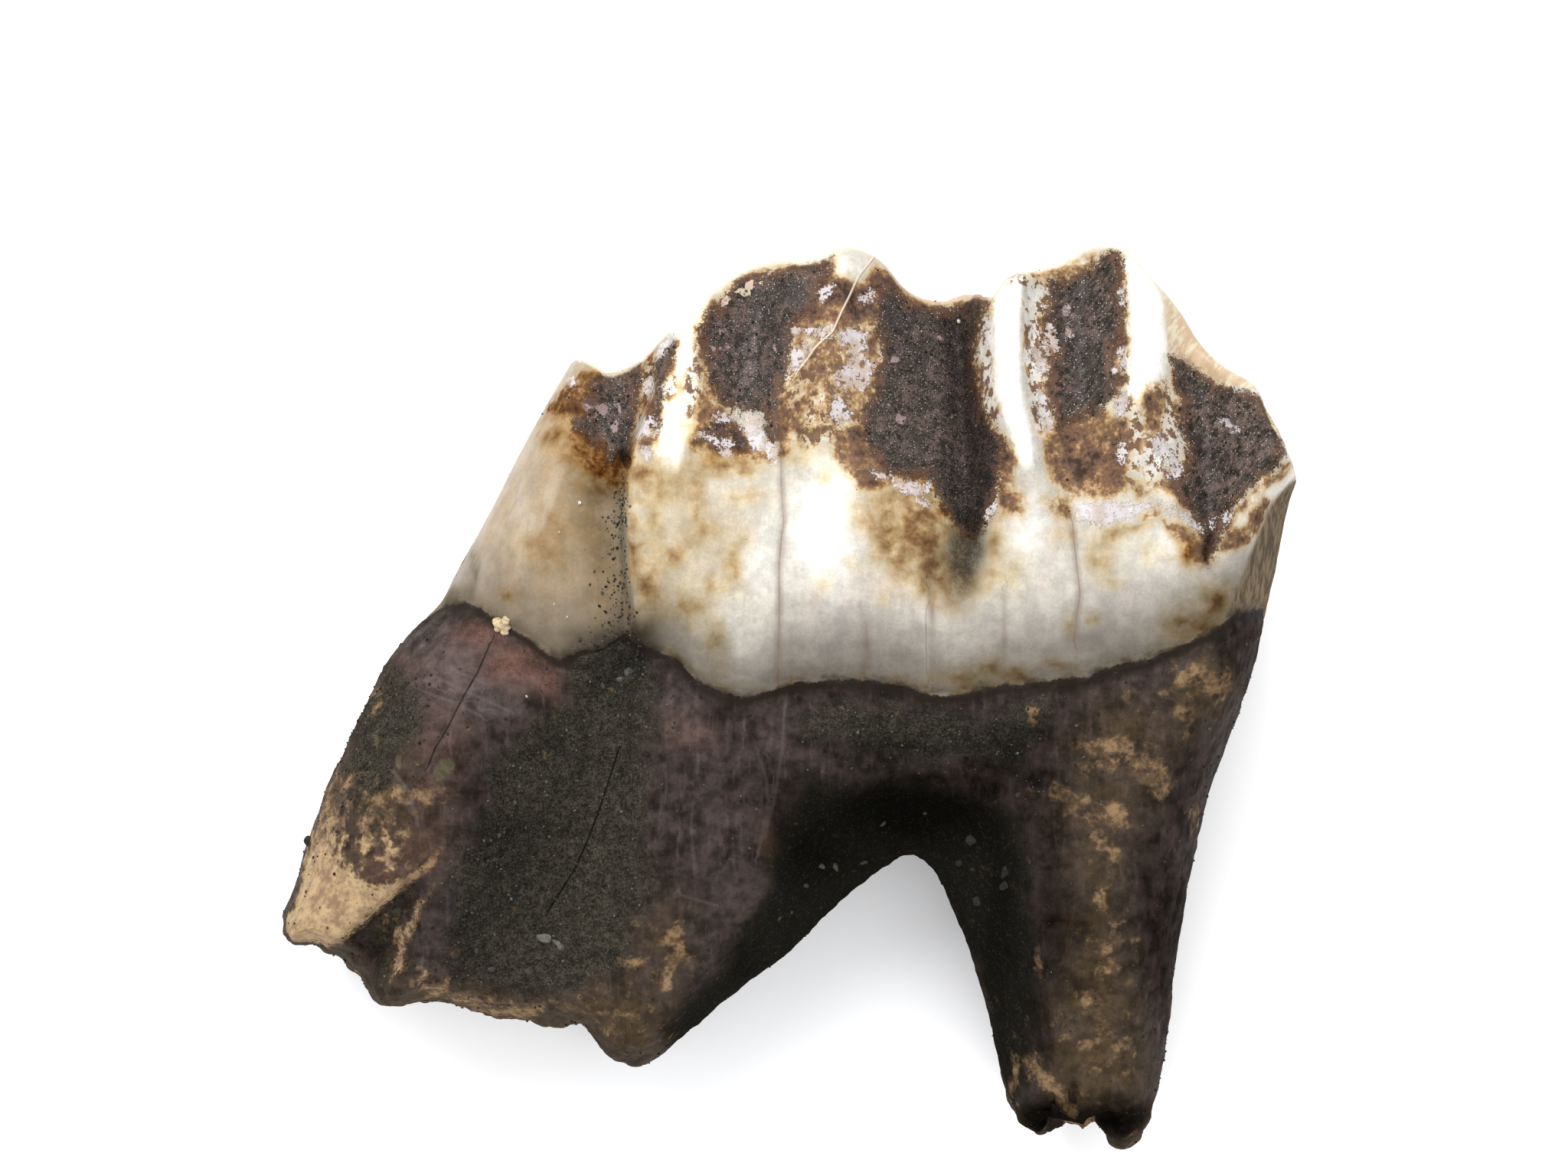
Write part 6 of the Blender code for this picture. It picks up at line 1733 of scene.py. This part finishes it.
def addCrumbs(points, normals, material):
    upper = points[:, 2] > middleLevel(points[:, 1])
    points, normals = points[upper], normals[upper]
    centres, sizes, levels = [], [], []
    for x, y, *size, tone in np.reshape(crumbs, (-1, 6)):
        nearest = np.argmin(np.hypot(points[:, 0] - x, points[:, 1] - y))
        centres.append(points[nearest] + normals[nearest] * sandGrains["sunk"] * size[2])
        sizes.append(size)
        levels.append(tone)
    mesh = lumpMesh("crumbs", np.array(centres), np.array(sizes), np.array(levels), 18, 12, 0.5, 97, True)
    ridesWithTooth(addObject("crumbs", mesh), material)


skin = addSkin()
surface = meshPoints(skin.data)
low, high = surface.min(axis=0), surface.max(axis=0)
shift = np.array([*(0.5 * (low + high)[:2]), low[2]])
marks = toothFields(surface)
addAttributes(skin.data, marks)
surface = surface - shift
skinNormals = meshNormals(skin.data)
print("skin", len(skin.data.polygons), "triangles, shifted by", shift.round(3))

onCrown = smoothStep(marks["neck"] / 0.1)
clean = 1 - smoothStep(marks["flaked"] / 0.05 + 0.5)
amounts = sandGrains["crownShare"]
crownSand = smoothStep(marks["crust"] / 0.15) * onCrown * amounts["crust"]
crownSand = crownSand + marks["sand"] ** 3 * onCrown * amounts["groove"]
crownSand = (crownSand + marks["film"] * onCrown * amounts["film"]) * clean
amounts = sandGrains["rootShare"]
rootSand = (1 - onCrown) * (marks["sand"] * amounts["hollows"] + amounts["faces"])
rootSand = rootSand * (1 - marks["inner"])
offGround = surface[:, 2] > sandGrains["offGround"]
sandLook = grainMaterial()
addSand("sandOnCrown", skin.data, surface, skinNormals, crownSand * offGround, sandLook, 5, -0.02)
addSand("sandOnRoots", skin.data, surface, skinNormals, rootSand * offGround, sandLook, 6, -0.05)
addCrumbs(surface, skinNormals, sandLook)
setPoints(skin.data, surface * mm)
ridesWithTooth(skin, toothMaterial([name for name in marks if name != "broken"]))
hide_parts(toothNode)
print("tooth dressed")

studio = {
    "floorColor": (0.97, 0.97, 0.972, 1),
    "worldColor": (0.97, 0.98, 1.0, 1),
    "worldStrength": 1.1,
    "keyPlace": (-0.08, 0.225, 0.24),
    "keySize": 0.3,
    "keyPower": 1.65,
    "fillPlace": (0.08, -0.21, 0.26),
    "fillSize": 0.3,
    "fillPower": 0.5,
}


def addFloor():
    mesh = bpy.data.meshes.new("floor")
    half = 0.6
    corners = [(-half, -half, 0), (half, -half, 0), (half, half, 0), (-half, half, 0)]
    mesh.from_pydata(corners, [], [(0, 1, 2, 3)])
    material = bpy.data.materials.new("paleFloor")
    material.use_nodes = True
    shader = material.node_tree.nodes["Principled BSDF"]
    shader.inputs["Base Color"].default_value = studio["floorColor"]
    shader.inputs["Roughness"].default_value = 0.9
    shader.inputs["Specular IOR Level"].default_value = 0.1
    mesh.materials.append(material)
    floor = addObject("floor", mesh)


def addSoftbox(name, place, size, power):
    light = bpy.data.lights.new(name, "AREA")
    light.shape = "SQUARE"
    light.size = size
    light.energy = power
    obj = bpy.data.objects.new(name, light)
    obj.location = place
    aim = Vector((0, 0, 0.004)) - Vector(place)
    obj.rotation_euler = aim.to_track_quat("-Z", "Y").to_euler()
    bpy.context.scene.collection.objects.link(obj)


addFloor()
addSoftbox("keySoftbox", studio["keyPlace"], studio["keySize"], studio["keyPower"])
addSoftbox("fillSoftbox", studio["fillPlace"], studio["fillSize"], studio["fillPower"])
world = bpy.data.worlds.new("paleRoom")
world.use_nodes = True
world.node_tree.nodes["Background"].inputs[0].default_value = studio["worldColor"]
world.node_tree.nodes["Background"].inputs[1].default_value = studio["worldStrength"]
bpy.context.scene.world = world
bpy.context.scene.view_settings.view_transform = "Standard"

# The camera looks straight down from afar, so that the outline is hardly foreshortened.
view = {"aimX": -0.108 * mm, "aimY": 2.611 * mm, "distance": 0.6, "widthSeen": 36.864 * mm}
cameraData = bpy.data.cameras.new("camera")
cameraData.sensor_width = 36
cameraData.lens = 36 * view["distance"] / view["widthSeen"]
cameraData.clip_start = 0.01
cameraData.clip_end = 5
camera = bpy.data.objects.new("camera", cameraData)
camera.location = (view["aimX"], view["aimY"], view["distance"] + 0.0045)
bpy.context.scene.collection.objects.link(camera)
bpy.context.scene.camera = camera
print("studio ready")
